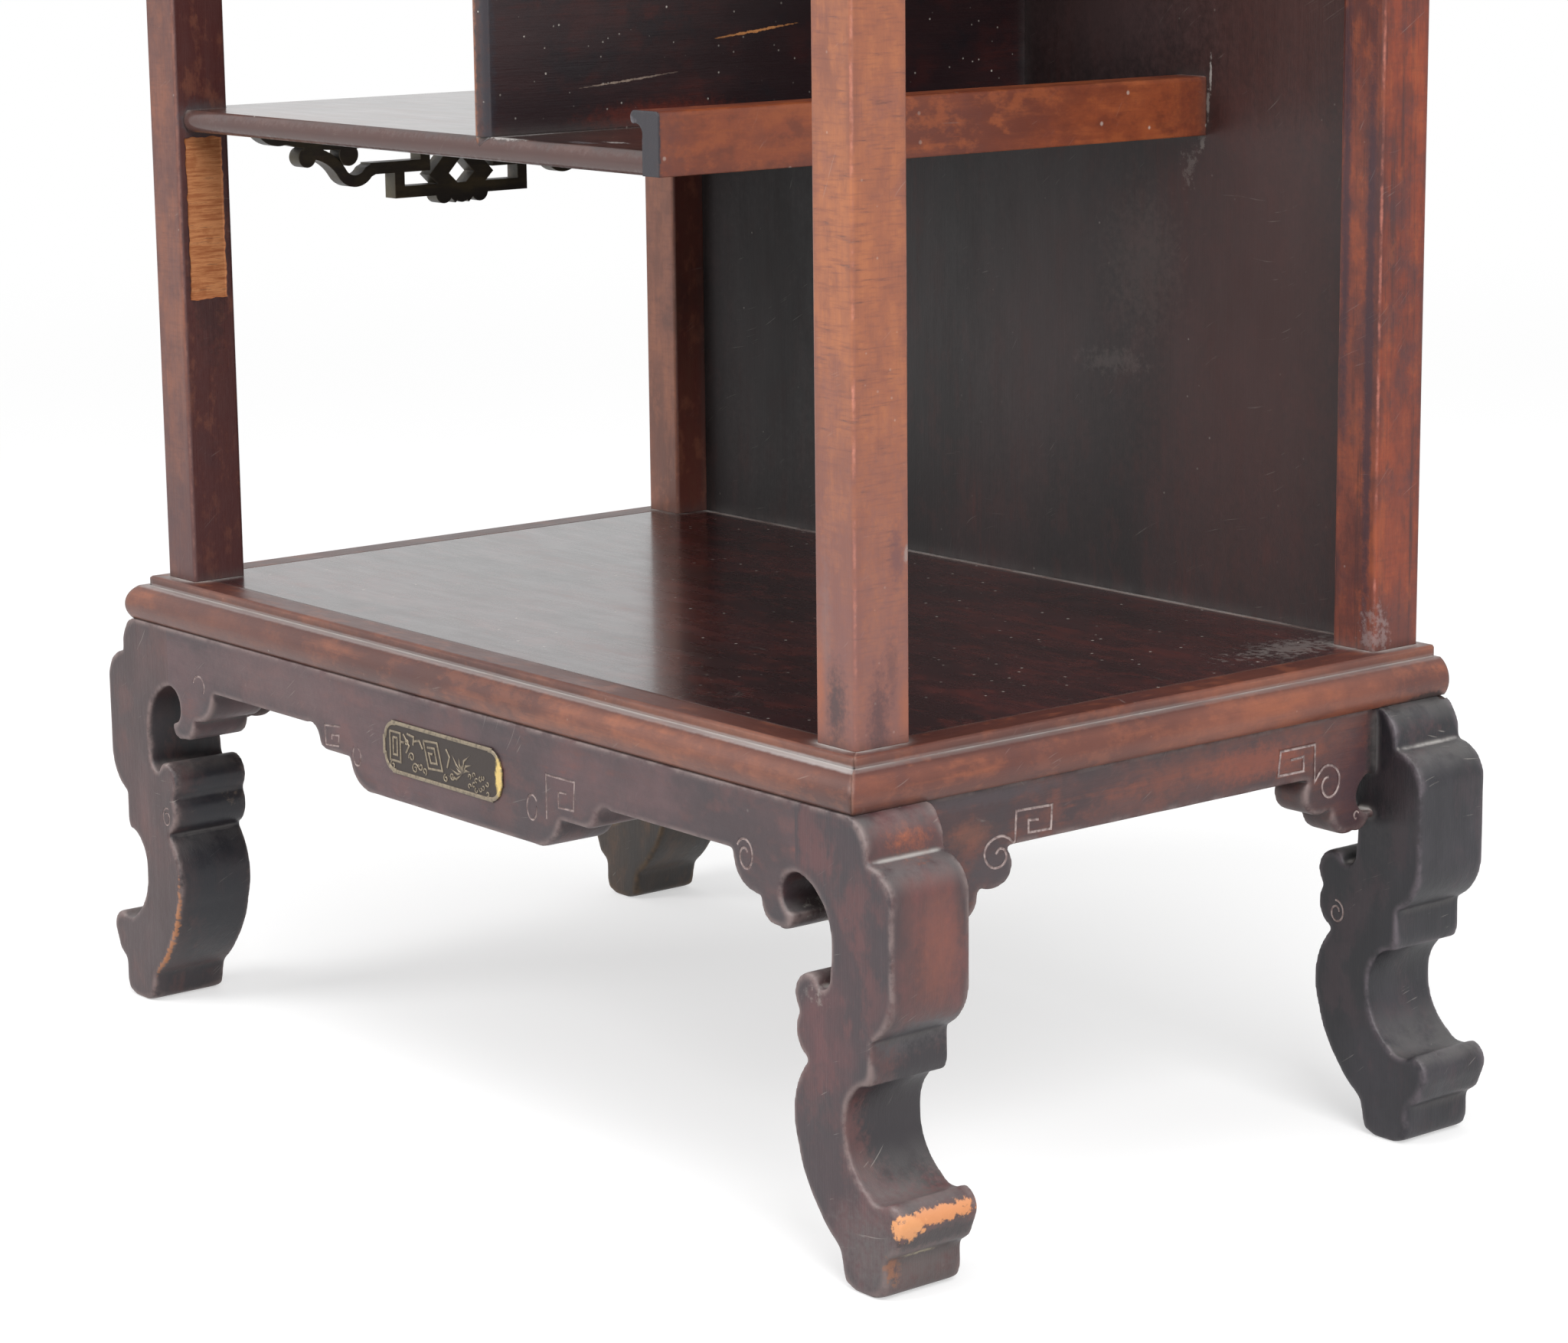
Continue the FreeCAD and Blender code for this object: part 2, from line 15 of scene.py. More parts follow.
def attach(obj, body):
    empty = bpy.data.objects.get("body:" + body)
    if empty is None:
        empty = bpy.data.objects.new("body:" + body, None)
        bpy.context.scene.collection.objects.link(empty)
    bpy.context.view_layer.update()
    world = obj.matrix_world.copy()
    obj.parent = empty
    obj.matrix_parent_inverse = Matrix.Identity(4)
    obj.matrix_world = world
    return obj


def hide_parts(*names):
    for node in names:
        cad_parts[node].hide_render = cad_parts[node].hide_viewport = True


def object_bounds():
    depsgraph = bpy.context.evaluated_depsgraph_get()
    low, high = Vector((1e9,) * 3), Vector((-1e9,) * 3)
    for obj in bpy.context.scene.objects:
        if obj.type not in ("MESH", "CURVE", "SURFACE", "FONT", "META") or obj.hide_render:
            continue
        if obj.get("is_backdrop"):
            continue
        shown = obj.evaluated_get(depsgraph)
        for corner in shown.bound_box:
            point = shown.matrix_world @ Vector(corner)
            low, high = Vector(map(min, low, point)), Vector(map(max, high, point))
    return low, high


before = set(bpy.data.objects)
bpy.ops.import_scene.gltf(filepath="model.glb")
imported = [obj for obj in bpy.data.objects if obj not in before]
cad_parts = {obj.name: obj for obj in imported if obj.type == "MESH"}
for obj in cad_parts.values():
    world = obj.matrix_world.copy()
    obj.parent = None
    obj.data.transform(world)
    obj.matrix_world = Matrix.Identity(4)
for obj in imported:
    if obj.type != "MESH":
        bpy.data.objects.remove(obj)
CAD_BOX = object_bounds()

LOG = logging.getLogger("cabinet")
MM = 0.001
BODY = "root"
Triple = tuple[float, float, float]
TO_FRONT = (0.0, -1.0, 0.0)
TO_RIGHT = (1.0, 0.0, 0.0)
UPWARD = (0.0, 0.0, 1.0)
WELD = 1e-6
SAW_SNAP = 1e-7


# Shader tools


@dataclass(frozen=True)
class Paint:
    """A colour as a screen shows it, each channel from 0 to 255."""

    red: float
    green: float
    blue: float

    def linear(self) -> tuple[float, float, float, float]:
        """Gives the colour as light, with full cover."""
        return (*(self._light(c / 255.0) for c in (self.red, self.green, self.blue)), 1.0)

    @staticmethod
    def _light(channel: float) -> float:
        """Turns one screen channel into light."""
        return channel / 12.92 if channel <= 0.04045 else ((channel + 0.055) / 1.055) ** 2.4


class Shade:
    """An output of a node, used in sums as a number is."""

    def __init__(self, bench: "Bench", socket: bpy.types.NodeSocket) -> None:
        """Keeps the socket and the bench that its nodes are on."""
        self.bench = bench
        self.socket = socket

    def _sum(self, operation: str, left: "Shade | float", right: "Shade | float") -> "Shade":
        """Adds the Math node for one sign."""
        return self.bench.add("ShaderNodeMath", {"operation": operation}, {0: left, 1: right})

    def __add__(self, other: "Shade | float") -> "Shade":
        """Gives self + other."""
        return self._sum("ADD", self, other)

    def __radd__(self, other: float) -> "Shade":
        """Gives other + self."""
        return self._sum("ADD", other, self)

    def __sub__(self, other: "Shade | float") -> "Shade":
        """Gives self - other."""
        return self._sum("SUBTRACT", self, other)

    def __rsub__(self, other: float) -> "Shade":
        """Gives other - self."""
        return self._sum("SUBTRACT", other, self)

    def __mul__(self, other: "Shade | float") -> "Shade":
        """Gives self * other."""
        return self._sum("MULTIPLY", self, other)

    def __rmul__(self, other: float) -> "Shade":
        """Gives other * self."""
        return self._sum("MULTIPLY", other, self)

    def most(self, other: "Shade | float") -> "Shade":
        """Gives the greater of the two."""
        return self._sum("MAXIMUM", self, other)

    def rise(self, low: float, high: float) -> "Shade":
        """Gives a smooth step from 0 at low to 1 at high."""
        return self.bench.add(
            "ShaderNodeMapRange", {"interpolation_type": "SMOOTHSTEP"}, {0: self, 1: low, 2: high})

    def moved(self, by: Triple) -> "Shade":
        """Adds a fixed vector."""
        return self.bench.add("ShaderNodeVectorMath", {"operation": "ADD"}, {0: self, 1: by})

    def scaled(self, by: Triple) -> "Shade":
        """Multiplies each axis by its own number."""
        return self.bench.add("ShaderNodeVectorMath", {"operation": "MULTIPLY"}, {0: self, 1: by})

    def length(self) -> "Shade":
        """Gives a vector's length."""
        return self.bench.add("ShaderNodeVectorMath", {"operation": "LENGTH"}, {0: self}, "Value")

    def dot(self, other: "Shade | Triple") -> "Shade":
        """Gives the dot product with another vector."""
        return self.bench.add(
            "ShaderNodeVectorMath", {"operation": "DOT_PRODUCT"}, {0: self, 1: other}, "Value")

    def axis(self, name: str) -> "Shade":
        """Gives one of a vector's parts, X, Y or Z."""
        return self.bench.add("ShaderNodeSeparateXYZ", {}, {0: self}, name)


class Bench:
    """A node tree and the ways to lay nodes in it."""

    def __init__(self, tree: bpy.types.NodeTree) -> None:
        """Clears the tree."""
        self.tree = tree
        self.tree.nodes.clear()

    def add(self, kind: str, settings: Mapping[str, object], sockets: Mapping[int | str, object],
            output: int | str = 0) -> Shade:
        """Adds a node.

        Args:
            kind: The node's type.
            settings: Its settings, which are set first.
            sockets: A value, a paint or another node's output for each socket named.
            output: The output that is wanted.

        Returns:
            That output.
        """
        node = self.tree.nodes.new(kind)
        for name, value in settings.items():
            setattr(node, name, value)
        for name, value in sockets.items():
            if isinstance(value, Shade):
                self.tree.links.new(value.socket, node.inputs[name])
            else:
                node.inputs[name].default_value = value.linear() if isinstance(value, Paint) else value
        return Shade(self, node.outputs[output] if len(node.outputs) else None)

    def place(self) -> Shade:
        """Gives the place on the cabinet in metres."""
        return self.add("ShaderNodeTexCoord", {}, {}, "Object")

    def facing(self) -> Shade:
        """Gives the surface's own direction."""
        return self.add("ShaderNodeNewGeometry", {}, {}, "Normal")

    def cloud(self, place: Shade, scale: float, detail: float = 3.0, rough: float = 0.55) -> Shade:
        """Gives soft noise from about 0.25 to 0.75."""
        return self.add("ShaderNodeTexNoise", {}, {
            "Vector": place, "Scale": scale, "Detail": detail, "Roughness": rough})

    def carried(self, name: str) -> Shade:
        """Gives a mask that is kept on the mesh."""
        return self.add("ShaderNodeAttribute", {"attribute_name": name}, {}, "Fac")

    def bumped(self, height: Shade, distance: float, strength: float = 1.0,
               normal: Shade | None = None) -> Shade:
        """Gives the normal of a surface with a fine relief.

        Args:
            height: The relief.
            distance: How deep it is, in metres.
            strength: How much of it shows.
            normal: The normal that it stands on, if not the mesh's own.

        Returns:
            The normal.
        """
        sockets = {"Height": height, "Distance": distance, "Strength": strength}
        if normal is not None:
            sockets["Normal"] = normal
        return self.add("ShaderNodeBump", {}, sockets)

    def turned(self, place: Shade, ways: Sequence[Triple]) -> Shade:
        """Gives a place measured along three other directions, whose lengths are the scales."""
        measured = {axis: place.dot(way) for axis, way in zip("XYZ", ways)}
        return self.add("ShaderNodeCombineXYZ", {}, measured)

    def blend(self, mask: "Shade | float", low: "Shade | Paint", high: "Shade | Paint") -> Shade:
        """Goes from one colour to another by a mask."""
        return self.add("ShaderNodeMix", {"data_type": "RGBA"}, {0: mask, 6: low, 7: high}, 2)

    def close(self, **sockets: "Shade | Paint | float") -> None:
        """Ends a material with its shader.

        Args:
            sockets: The shader's sockets, named with _ for a space.
        """
        named = {name.replace("_", " "): value for name, value in sockets.items()}
        shader = self.add("ShaderNodeBsdfPrincipled", {}, named)
        self.add("ShaderNodeOutputMaterial", {}, {"Surface": shader})


def material_bench(name: str) -> tuple[bpy.types.Material, Bench]:
    """Makes an empty material.

    Args:
        name: The material's name.

    Returns:
        The material and the bench for its nodes.
    """
    material = bpy.data.materials.new(name)
    material.use_nodes = True
    return material, Bench(material.node_tree)


# Finishes


class Grain(Enum):
    """The way that the wood's fibres run."""

    ACROSS = 0
    DEPTH = 1
    UPRIGHT = 2

    def stretch(self, across: float, along: float) -> Triple:
        """Gives scales that draw a noise out along the fibres."""
        return tuple(along if axis == self.value else across for axis in range(3))


class Edges(Enum):
    """How a finish finds the edges and the inner corners of its piece."""

    SHARP = "found by rays, for solids with sharp edges"
    SOFTENED = "kept on the mesh, for carving that was softened"


@dataclass(frozen=True)
class Mark:
    """A stain, glow or rubbed spot at one place of the cabinet, in millimetres; some marks are painted
    shade, a painted highlight or a painted reflection.
    """

    middle: Triple
    reach: Triple
    paint: Paint
    strength: float = 1.0
    torn: float = 0.25
    soft: float = 0.35
    matt: float = 0.0

    def mask(self, place: Shade, wander: Shade) -> Shade:
        """Gives 1 inside the spot and 0 outside, with a torn edge.

        Args:
            place: The place on the cabinet.
            wander: Fine noise from -1 to 1 that tears the edge.

        Returns:
            The mask, times the mark's strength.
        """
        middle = tuple(-c * MM for c in self.middle)
        shrink = tuple(1.0 / (r * MM) for r in self.reach)
        away = place.moved(middle).scaled(shrink).length() + wander * self.torn
        return (1.0 - away.rise(1.0 - self.soft, 1.0)) * self.strength


def marks_at(*rows: tuple) -> list[Mark]:
    """Gives the marks of a table.

    Args:
        rows: Each mark's middle, reach, colour channels and further values, in the order of its fields.

    Returns:
        The marks.
    """
    return [Mark(middle, reach, Paint(*paint), *rest) for middle, reach, paint, *rest in rows]


def trail(line: Sequence[Triple], count: int, reach: Triple, paint: Paint, strength: float) -> list[Mark]:
    """Gives a row of small marks along a rubbed edge or a crack, largest in the middle.

    Args:
        line: The points that it passes.
        count: How many marks.
        reach: The size of each.
        paint: Their colour.
        strength: How much they cover.

    Returns:
        The marks.
    """
    marks = []
    for index in range(count):
        along = (len(line) - 1) * index / (count - 1)
        start = min(int(along), len(line) - 2)
        middle = tuple(a + (b - a) * (along - start) for a, b in zip(line[start], line[start + 1]))
        grown = (0.5 + 0.6 * math.sin(math.pi * index / (count - 1))) * (1.15 if index % 2 else 0.85)
        share = strength * (0.45 + 0.55 * math.sin(math.pi * index / (count - 1)))
        marks.append(Mark(middle, tuple(r * grown for r in reach), paint, share, 0.6, 0.5, 0.15))
    return marks


@dataclass(frozen=True)
class Tint:
    """A colour that a piece has on the faces that look one way; on some faces it is painted shade."""

    facing: Triple
    paint: Paint
    strength: float = 1.0


@dataclass(frozen=True)
class Stick:
    """A square post, by the middle and half sizes of its section, for the wear on its four arrises."""

    middle: tuple[float, float]
    half: tuple[float, float] = (19.5, 22.5)

    def beside(self, place: Shade, wander: Shade, near: float, far: float) -> Shade:
        """Gives a mask along the post's arrises.

        Args:
            place: The place on the cabinet.
            wander: Fine noise from -1 to 1 that frays the mask.
            near: How far from an arris the mask is whole, in millimetres.
            far: Where it ends.

        Returns:
            The mask.
        """
        off = place.moved((-self.middle[0] * MM, -self.middle[1] * MM, 0.0))
        folded = off.bench.add("ShaderNodeVectorMath", {"operation": "ABSOLUTE"}, {0: off})
        beyond = folded.moved((-self.half[0] * MM, -self.half[1] * MM, 0.0))
        corner = beyond.scaled((1.0, 1.0, 0.0)).length()
        return 1.0 - (corner - wander * (0.3 * near * MM)).rise(near * MM, far * MM)


@dataclass(frozen=True)
class DrawnNoise:
    """A noise drawn out along the fibres, by its scales for each metre."""

    across: float
    along: float
    detail: float = 5.0
    rough: float = 0.62

    def on(self, bench: Bench, place: Shade, grain: Grain, drawn_out: float = 1.0) -> Shade:
        """Gives the noise at a place, drawn out a further number of times."""
        return bench.cloud(place.scaled(grain.stretch(self.across, self.along / drawn_out)), 1.0,
                           self.detail, self.rough)


PATCHES = DrawnNoise(11.0, 3.2, 4.0, 0.55)
BLOTS = DrawnNoise(52.0, 20.0)
STREAKS = DrawnNoise(140.0, 4.5, 5.0, 0.66)
FIBRES = DrawnNoise(1100.0, 45.0, 2.0, 0.55)
CHECKS = DrawnNoise(48.0, 460.0, 4.0)
MOTTLE_STRETCH = 0.6
STAIN_SCALE = 21.0
WANDER_SCALE = 190.0
BEND_SCALE = 7.0
BEND_REACH = 0.12
SCRATCH_WAYS = ((520.0, 330.0, -700.0), (10.0, 30.0, 20.0), (28.0, -12.0, 14.0))
SEED_STEP = (1.37, 2.11, 0.73)
RAY_SAMPLES = 6
COAT_ROUGHNESS = 0.12
RELIEF_DEPTH = 0.35 * MM
DUST = Paint(172, 168, 164)
SPECK = Paint(214, 208, 198)
BLACK = Paint(30, 22, 24)
UNLIT = Paint(0, 0, 0)
WHITE = Paint(255, 255, 255)


@dataclass(frozen=True)
class Lacquer:
    """Old lacquer over straight wood, rubbed at its edges and dusty in its corners, with painted shade in
    its inner corners.
    """

    deep: Paint
    body: Paint
    glow: Paint
    worn: Paint
    gloss: float = 0.3
    glow_share: float = 0.5
    streaks: float = 0.5
    mottle: float = 0.35
    mottle_scale: float = 60.0
    drawn_out: float = 1.0
    verge: float = 0.0
    checks: float = 0.0
    stains: float = 0.35
    stain: Paint = Paint(64, 40, 44)
    scratches: float = 0.1
    wear: float = 0.7
    dust: float = 0.5
    lying: float = 0.0
    corner_shade: float = 0.5
    specks: float = 0.5
    speck_scale: float = 85.0
    speck_pick: float = 0.75
    coat: float = 0.0
    relief: float = 1.0
    rounding: float = 2.0
    nook_reach: float = 14.0
    edges: Edges = Edges.SHARP

    def _edge_masks(self, bench: Bench) -> tuple[Shade, Shade, Shade | None]:
        """Finds the edges and inner corners.

        Args:
            bench: The material's bench.

        Returns:
            Masks of the edges and of the inner corners, and the rounded normal if there is one.
        """
        if self.edges is Edges.SOFTENED:
            return bench.carried("arris"), bench.carried("nook"), None
        rounded = bench.add("ShaderNodeBevel", {"samples": RAY_SAMPLES}, {"Radius": self.rounding * MM})
        bent = (1.0 - rounded.dot(bench.facing())) * 4.5
        open_air = bench.add("ShaderNodeAmbientOcclusion", {"samples": RAY_SAMPLES},
                             {"Distance": self.nook_reach * MM}, "AO")
        return bent.rise(0.1, 1.0) * open_air.rise(0.55, 0.9), 1.0 - open_air.rise(0.42, 0.9), rounded

    def lay(self, name: str, grain: Grain, seed: int, marks: Sequence[Mark] = (),
            tints: Sequence[Tint] = (), stick: Stick | None = None) -> bpy.types.Material:
        """Makes the material for one piece or kind of piece.

        Args:
            name: The material's name.
            grain: The way that the fibres run.
            seed: Moves all the noises, so that no two pieces match.
            marks: The spots that this piece has.
            tints: The faces with a colour of their own; some of them are painted shade.
            stick: The post's section, where the piece is a post.

        Returns:
            The material.
        """
        material, bench = material_bench(name)
        place = bench.place()
        moved = place.moved(tuple(seed * step for step in SEED_STEP))
        patch = PATCHES.on(bench, moved, grain, self.drawn_out)
        blot = BLOTS.on(bench, moved, grain, self.drawn_out)
        streak, fibre, check = (kind.on(bench, moved, grain) for kind in (STREAKS, FIBRES, CHECKS))
        spread = DrawnNoise(self.mottle_scale, self.mottle_scale * MOTTLE_STRETCH, 5.0, 0.66)
        mottle = spread.on(bench, moved, grain)
        stained = bench.cloud(moved, STAIN_SCALE, 6.0, 0.64)
        wander = (bench.cloud(moved, WANDER_SCALE, 4.0, 0.7) - 0.5) * 4.0
        upward = bench.facing().dot(UPWARD).rise(0.2, 0.9)
        arris, nook, rounded = self._edge_masks(bench)

        tone = bench.blend(patch.rise(0.4, 0.6), self.deep, self.body)
        warmth = (blot * 0.35 + patch * 0.3 + streak * 0.35).rise(
            0.61 - 0.25 * self.glow_share, 0.73 - 0.2 * self.glow_share)
        tone = bench.blend(warmth, tone, self.glow)
        # Tinted faces; some are painted shade on faces that turn away from the light.
        for tint in tints:
            faces = bench.facing().dot(tint.facing).rise(0.55, 0.9)
            tone = bench.blend(faces * (0.7 + blot * 0.6) * tint.strength, tone, tint.paint)
        tone = bench.blend(streak.rise(0.48, 0.68) * self.streaks, tone, self.deep)
        tone = bench.blend(mottle.rise(0.49, 0.66) * self.mottle, tone, self.deep)
        tone = bench.blend((1.0 - mottle.rise(0.36, 0.5)) * (self.mottle * 0.8), tone, self.glow)
        tone = bench.blend(check.rise(0.46, 0.68) * self.checks * 0.6, tone, self.deep)
        tone = bench.blend(stained.rise(0.53, 0.68) * self.stains, tone, self.stain)
        if stick is not None:
            dark = stick.beside(place, wander, 1.5, 8.0) * stained.rise(0.4, 0.6) * 0.6
            tone = bench.blend(dark, tone, self.deep)
            line = stick.beside(place, wander * 2.0, 0.8, 2.2) * mottle.rise(0.42, 0.6)
            tone = bench.blend(line * self.wear, tone, self.worn)
            arris = arris * 0.4
        if self.edges is Edges.SOFTENED:
            verge = bench.carried("verge") * (blot + wander * 0.05).rise(0.3, 0.6) * self.verge
            tone = bench.blend(verge, tone, self.stain)
        cracks = check.rise(0.63, 0.75) * patch.rise(0.42, 0.58) * self.checks * 0.5
        pores = fibre.rise(0.58, 0.75) * (0.35 * self.streaks)
        tone = bench.blend(cracks.most(pores), tone, BLACK)
        rubbed = arris * (blot + wander * 0.08).rise(0.32, 0.62) * self.wear
        tone = bench.blend(rubbed, tone, self.worn)
        rough = self.gloss + blot * 0.16 + streak * 0.1 + rubbed * 0.15
        for mark in marks:
            mask = mark.mask(place, wander)
            tone = bench.blend(mask, tone, mark.paint)
            rough = rough + mask * mark.matt
        # Painted shade: inner corners that do not face up are darkened towards black.
        tone = bench.blend(nook * (1.0 - upward) * blot.rise(0.3, 0.55) * self.corner_shade, tone, BLACK)
        settled = (nook * (0.1 + upward * 0.9) * self.dust).most(upward * self.lying) * (
            blot + wander * 0.06).rise(0.18, 0.6)
        tone = bench.blend(settled, tone, DUST)
        bend = bench.add(
            "ShaderNodeTexNoise", {}, {"Vector": moved, "Scale": BEND_SCALE, "Detail": 0.0}, "Color")
        bowed = moved.moved(bend.scaled((BEND_REACH,) * 3))
        scratch = bench.cloud(bench.turned(bowed, SCRATCH_WAYS), 1.0, 1.0, 0.4)
        scored = scratch.rise(0.7, 0.78) * stained.rise(0.5, 0.62) * self.scratches
        cell = {"Vector": moved, "Scale": self.speck_scale}
        near = bench.add("ShaderNodeTexVoronoi", {}, cell, "Distance")
        pick = bench.add("ShaderNodeTexVoronoi", {}, cell, "Color").axis("X")
        flecks = (1.0 - near.rise(0.04, 0.1)) * pick.rise(self.speck_pick, self.speck_pick + 0.25) * (
            0.3 + patch.rise(0.4, 0.6) * 0.7) * self.specks
        tone = bench.blend(flecks.most(scored), tone, SPECK)
        rough = rough + settled * 0.35 + flecks * 0.3

        height = (streak * 0.6 + fibre * 0.3 + blot * 0.8 + mottle * 0.9 + stained * 0.9 - cracks * 0.8
                  + settled * 0.3 - scored * 0.4)
        bench.close(Base_Color=tone, Roughness=rough, Coat_Weight=self.coat, Coat_Roughness=COAT_ROUGHNESS,
                    Normal=bench.bumped(height, RELIEF_DEPTH * self.relief, 0.8, rounded))
        return material


@dataclass(frozen=True)
class RawWood:
    """Bare wood where the lacquer or a glued part came off."""

    pale: Paint = Paint(196, 132, 84)
    warm: Paint = Paint(150, 84, 44)
    dark: Paint = Paint(74, 42, 30)
    seed_step: Triple = (1.9, 0.7, 1.3)

    def lay(self, name: str, grain: Grain, seed: int) -> bpy.types.Material:
        """Makes the material, with the fibres torn along the grain.

        Args:
            name: The material's name.
            grain: The way that the fibres run.
            seed: Moves the noises.

        Returns:
            The material.
        """
        material, bench = material_bench(name)
        moved = bench.place().moved(tuple(seed * step for step in self.seed_step))
        torn = bench.cloud(moved.scaled(grain.stretch(420.0, 30.0)), 1.0, 5.0, 0.7)
        blot = bench.cloud(moved, 70.0, 4.0)
        tone = bench.blend(torn.rise(0.35, 0.62), self.warm, self.pale)
        tone = bench.blend(blot.rise(0.52, 0.68) * 0.6, tone, self.warm)
        tone = bench.blend(torn.rise(0.58, 0.7) * 0.75, tone, self.dark)
        bench.close(Base_Color=tone, Roughness=0.62 + blot * 0.2,
                    Normal=bench.bumped(torn + blot * 0.4, 0.0006, 0.8))
        return material


@dataclass(frozen=True)
class DustFill:
    """Pale dust packed in a cut line."""

    pale: Paint = Paint(172, 156, 152)
    dark: Paint = Paint(128, 110, 108)

    def lay(self, name: str) -> bpy.types.Material:
        """Makes the material, uneven along the line.

        Args:
            name: The material's name.

        Returns:
            The material.
        """
        material, bench = material_bench(name)
        blot = bench.cloud(bench.place(), 260.0, 3.0, 0.6)
        bench.close(Base_Color=bench.blend(blot.rise(0.38, 0.6), self.dark, self.pale),
                    Roughness=0.75 + blot * 0.2, Normal=bench.bumped(blot, 0.0002))
        return material


@dataclass(frozen=True)
class AgedBrass:
    """Cast brass, brown in its field and rubbed bright on what stands up."""

    field_tone: Paint = Paint(54, 46, 42)
    metal: Paint = Paint(142, 130, 112)
    bright: Paint = Paint(226, 196, 120)
    field_level: float = -0.27
    top_level: float = -0.27035

    def lay(self, name: str, marks: Sequence[Mark] = ()) -> bpy.types.Material:
        """Makes the material.

        Args:
            name: The material's name.
            marks: Where it was rubbed bright; these spots are partly wear and partly a painted glint.

        Returns:
            The material.
        """
        material, bench = material_bench(name)
        place = bench.place()
        blot = bench.cloud(place, 300.0, 4.0, 0.65)
        wander = (blot - 0.5) * 4.0
        raised = 1.0 - place.axis("Y").rise(self.top_level, self.field_level)
        tone = bench.blend(raised * (0.45 + blot.rise(0.3, 0.6) * 0.55), self.field_tone, self.metal)
        rough = 0.55 - raised * 0.12 + blot * 0.1
        for mark in marks:
            mask = mark.mask(place, wander)
            tone = bench.blend(mask, tone, self.bright)
            rough = rough - mask * 0.15
        bench.close(Base_Color=tone, Roughness=rough, Metallic=0.25 + raised * 0.5,
                    Normal=bench.bumped(blot, 0.0002, 0.7))
        return material


# Mesh tools


@dataclass(frozen=True)
class Drawing:
    """A flat face that lines are drawn on, with two coordinates in millimetres."""

    across: int
    level: float
    outward: Triple

    def at(self, u: float, v: float, lift: float = 0.0) -> Vector:
        """Gives the place of a point on the face.

        Args:
            u: Its coordinate along the face, in millimetres.
            v: Its height, in millimetres.
            lift: How far it stands off the face, in millimetres.

        Returns:
            The place in metres.
        """
        spot = Vector((0.0, 0.0, v))
        spot[self.across] = u
        spot[1 - self.across] = self.level
        return (spot + Vector(self.outward) * lift) * MM


FRONT = Drawing(0, -269.1, TO_FRONT)
RIGHT = Drawing(1, 429.5, TO_RIGHT)
INNER = Drawing(0, 206.1, TO_FRONT)


@dataclass(frozen=True)
class Rod:
    """A round or flattened rod along a line of points on a face."""

    points: Sequence[tuple[float, float]]
    width: float = 1.3
    depth: float = 1.1
    closed: bool = False
    lift: float = 0.0
    tapered: bool = False
    sides: int = 8

    def add_to(self, mesh: bmesh.types.BMesh, face: Drawing) -> None:
        """Sweeps the rod, mitred at its corners.

        Args:
            mesh: The mesh that gets it.
            face: The face that its line lies on.
        """
        out = Vector(face.outward)
        line = [face.at(u, v, self.lift) for u, v in self.points]
        count = len(line)
        rings = []
        for index, spot in enumerate(line):
            before = line[index - 1] if self.closed or index else spot
            after = line[(index + 1) % count] if self.closed or index < count - 1 else spot
            into, onward = (spot - before), (after - spot)
            into = into.normalized() if into.length > 0 else onward.normalized()
            onward = onward.normalized() if onward.length > 0 else into
            heading = (into + onward).normalized()
            side = heading.cross(out).normalized()
            mitre = min(1.0 / max(heading.dot(onward), 0.35), 2.0)
            share = 1.0
            if self.tapered:
                share = max(0.25, math.sin(math.pi * min(1.0, index / max(count - 1, 1)) * 0.9 + 0.2))
            ring = []
            for corner in range(self.sides):
                turn = math.tau * (corner + 0.5) / self.sides
                ring.append(mesh.verts.new(
                    spot + side * (math.cos(turn) * self.width / 2 * MM * mitre * share)
                    + out * (math.sin(turn) * self.depth / 2 * MM * share)))
            rings.append(ring)
        pairs = list(zip(rings, rings[1:])) + ([(rings[-1], rings[0])] if self.closed else [])
        for low, high in pairs:
            for corner in range(self.sides):
                step = (corner + 1) % self.sides
                mesh.faces.new((low[corner], low[step], high[step], high[corner]))
        if not self.closed:
            mesh.faces.new(list(reversed(rings[0])))
            mesh.faces.new(rings[-1])


def spiral(middle: tuple[float, float], start: float, end: float, angle: float, turns: float,
           squeeze: float = 1.0) -> list[tuple[float, float]]:
    """Gives the points of a curl.

    Args:
        middle: Its middle on the face.
        start: The radius that it starts at.
        end: The radius that it ends at.
        angle: Where it starts, in degrees from the first axis.
        turns: How far it goes round, backwards if less than 0.
        squeeze: Its width as a share of its height.

    Returns:
        The points from its start to its end.
    """
    steps = max(6, int(abs(turns) * 28))
    points = []
    for step in range(steps + 1):
        share = step / steps
        radius = start + (end - start) * share
        turn = math.radians(angle) + math.tau * turns * share
        points.append((middle[0] + radius * squeeze * math.cos(turn), middle[1] + radius * math.sin(turn)))
    return points


def eased(points: Sequence[tuple[float, float]], steps: int = 4) -> list[tuple[float, float]]:
    """Gives a smooth line through the points of a curl.

    Args:
        points: The points that it passes.
        steps: How many points stand for each.

    Returns:
        The finer line.
    """
    line = []
    for index in range(len(points) - 1):
        nearby = [points[min(max(index + k, 0), len(points) - 1)] for k in (-1, 0, 1, 2)]
        for step in range(steps):
            t = step / steps
            line.append(tuple(
                b + 0.5 * t * (c - a + t * (2.0 * a - 5.0 * b + 4.0 * c - d + t * (3.0 * (b - c) + d - a)))
                for a, b, c, d in zip(*nearby)))
    return line + [points[-1]]


def linked(name: str, data: bpy.types.ID) -> bpy.types.Object:
    """Makes an object of its data.

    Args:
        name: The object's name.
        data: A mesh, a lamp or a camera.

    Returns:
        The object, linked to the scene.
    """
    made = bpy.data.objects.new(name, data)
    bpy.context.scene.collection.objects.link(made)
    return made


def linked_mesh(name: str, mesh: bmesh.types.BMesh) -> bpy.types.Object:
    """Makes an object of a mesh as it is, and frees the mesh.

    Args:
        name: The object's name.
        mesh: What was built.

    Returns:
        The object, linked to the scene.
    """
    data = bpy.data.meshes.new(name)
    mesh.to_mesh(data)
    mesh.free()
    return linked(name, data)


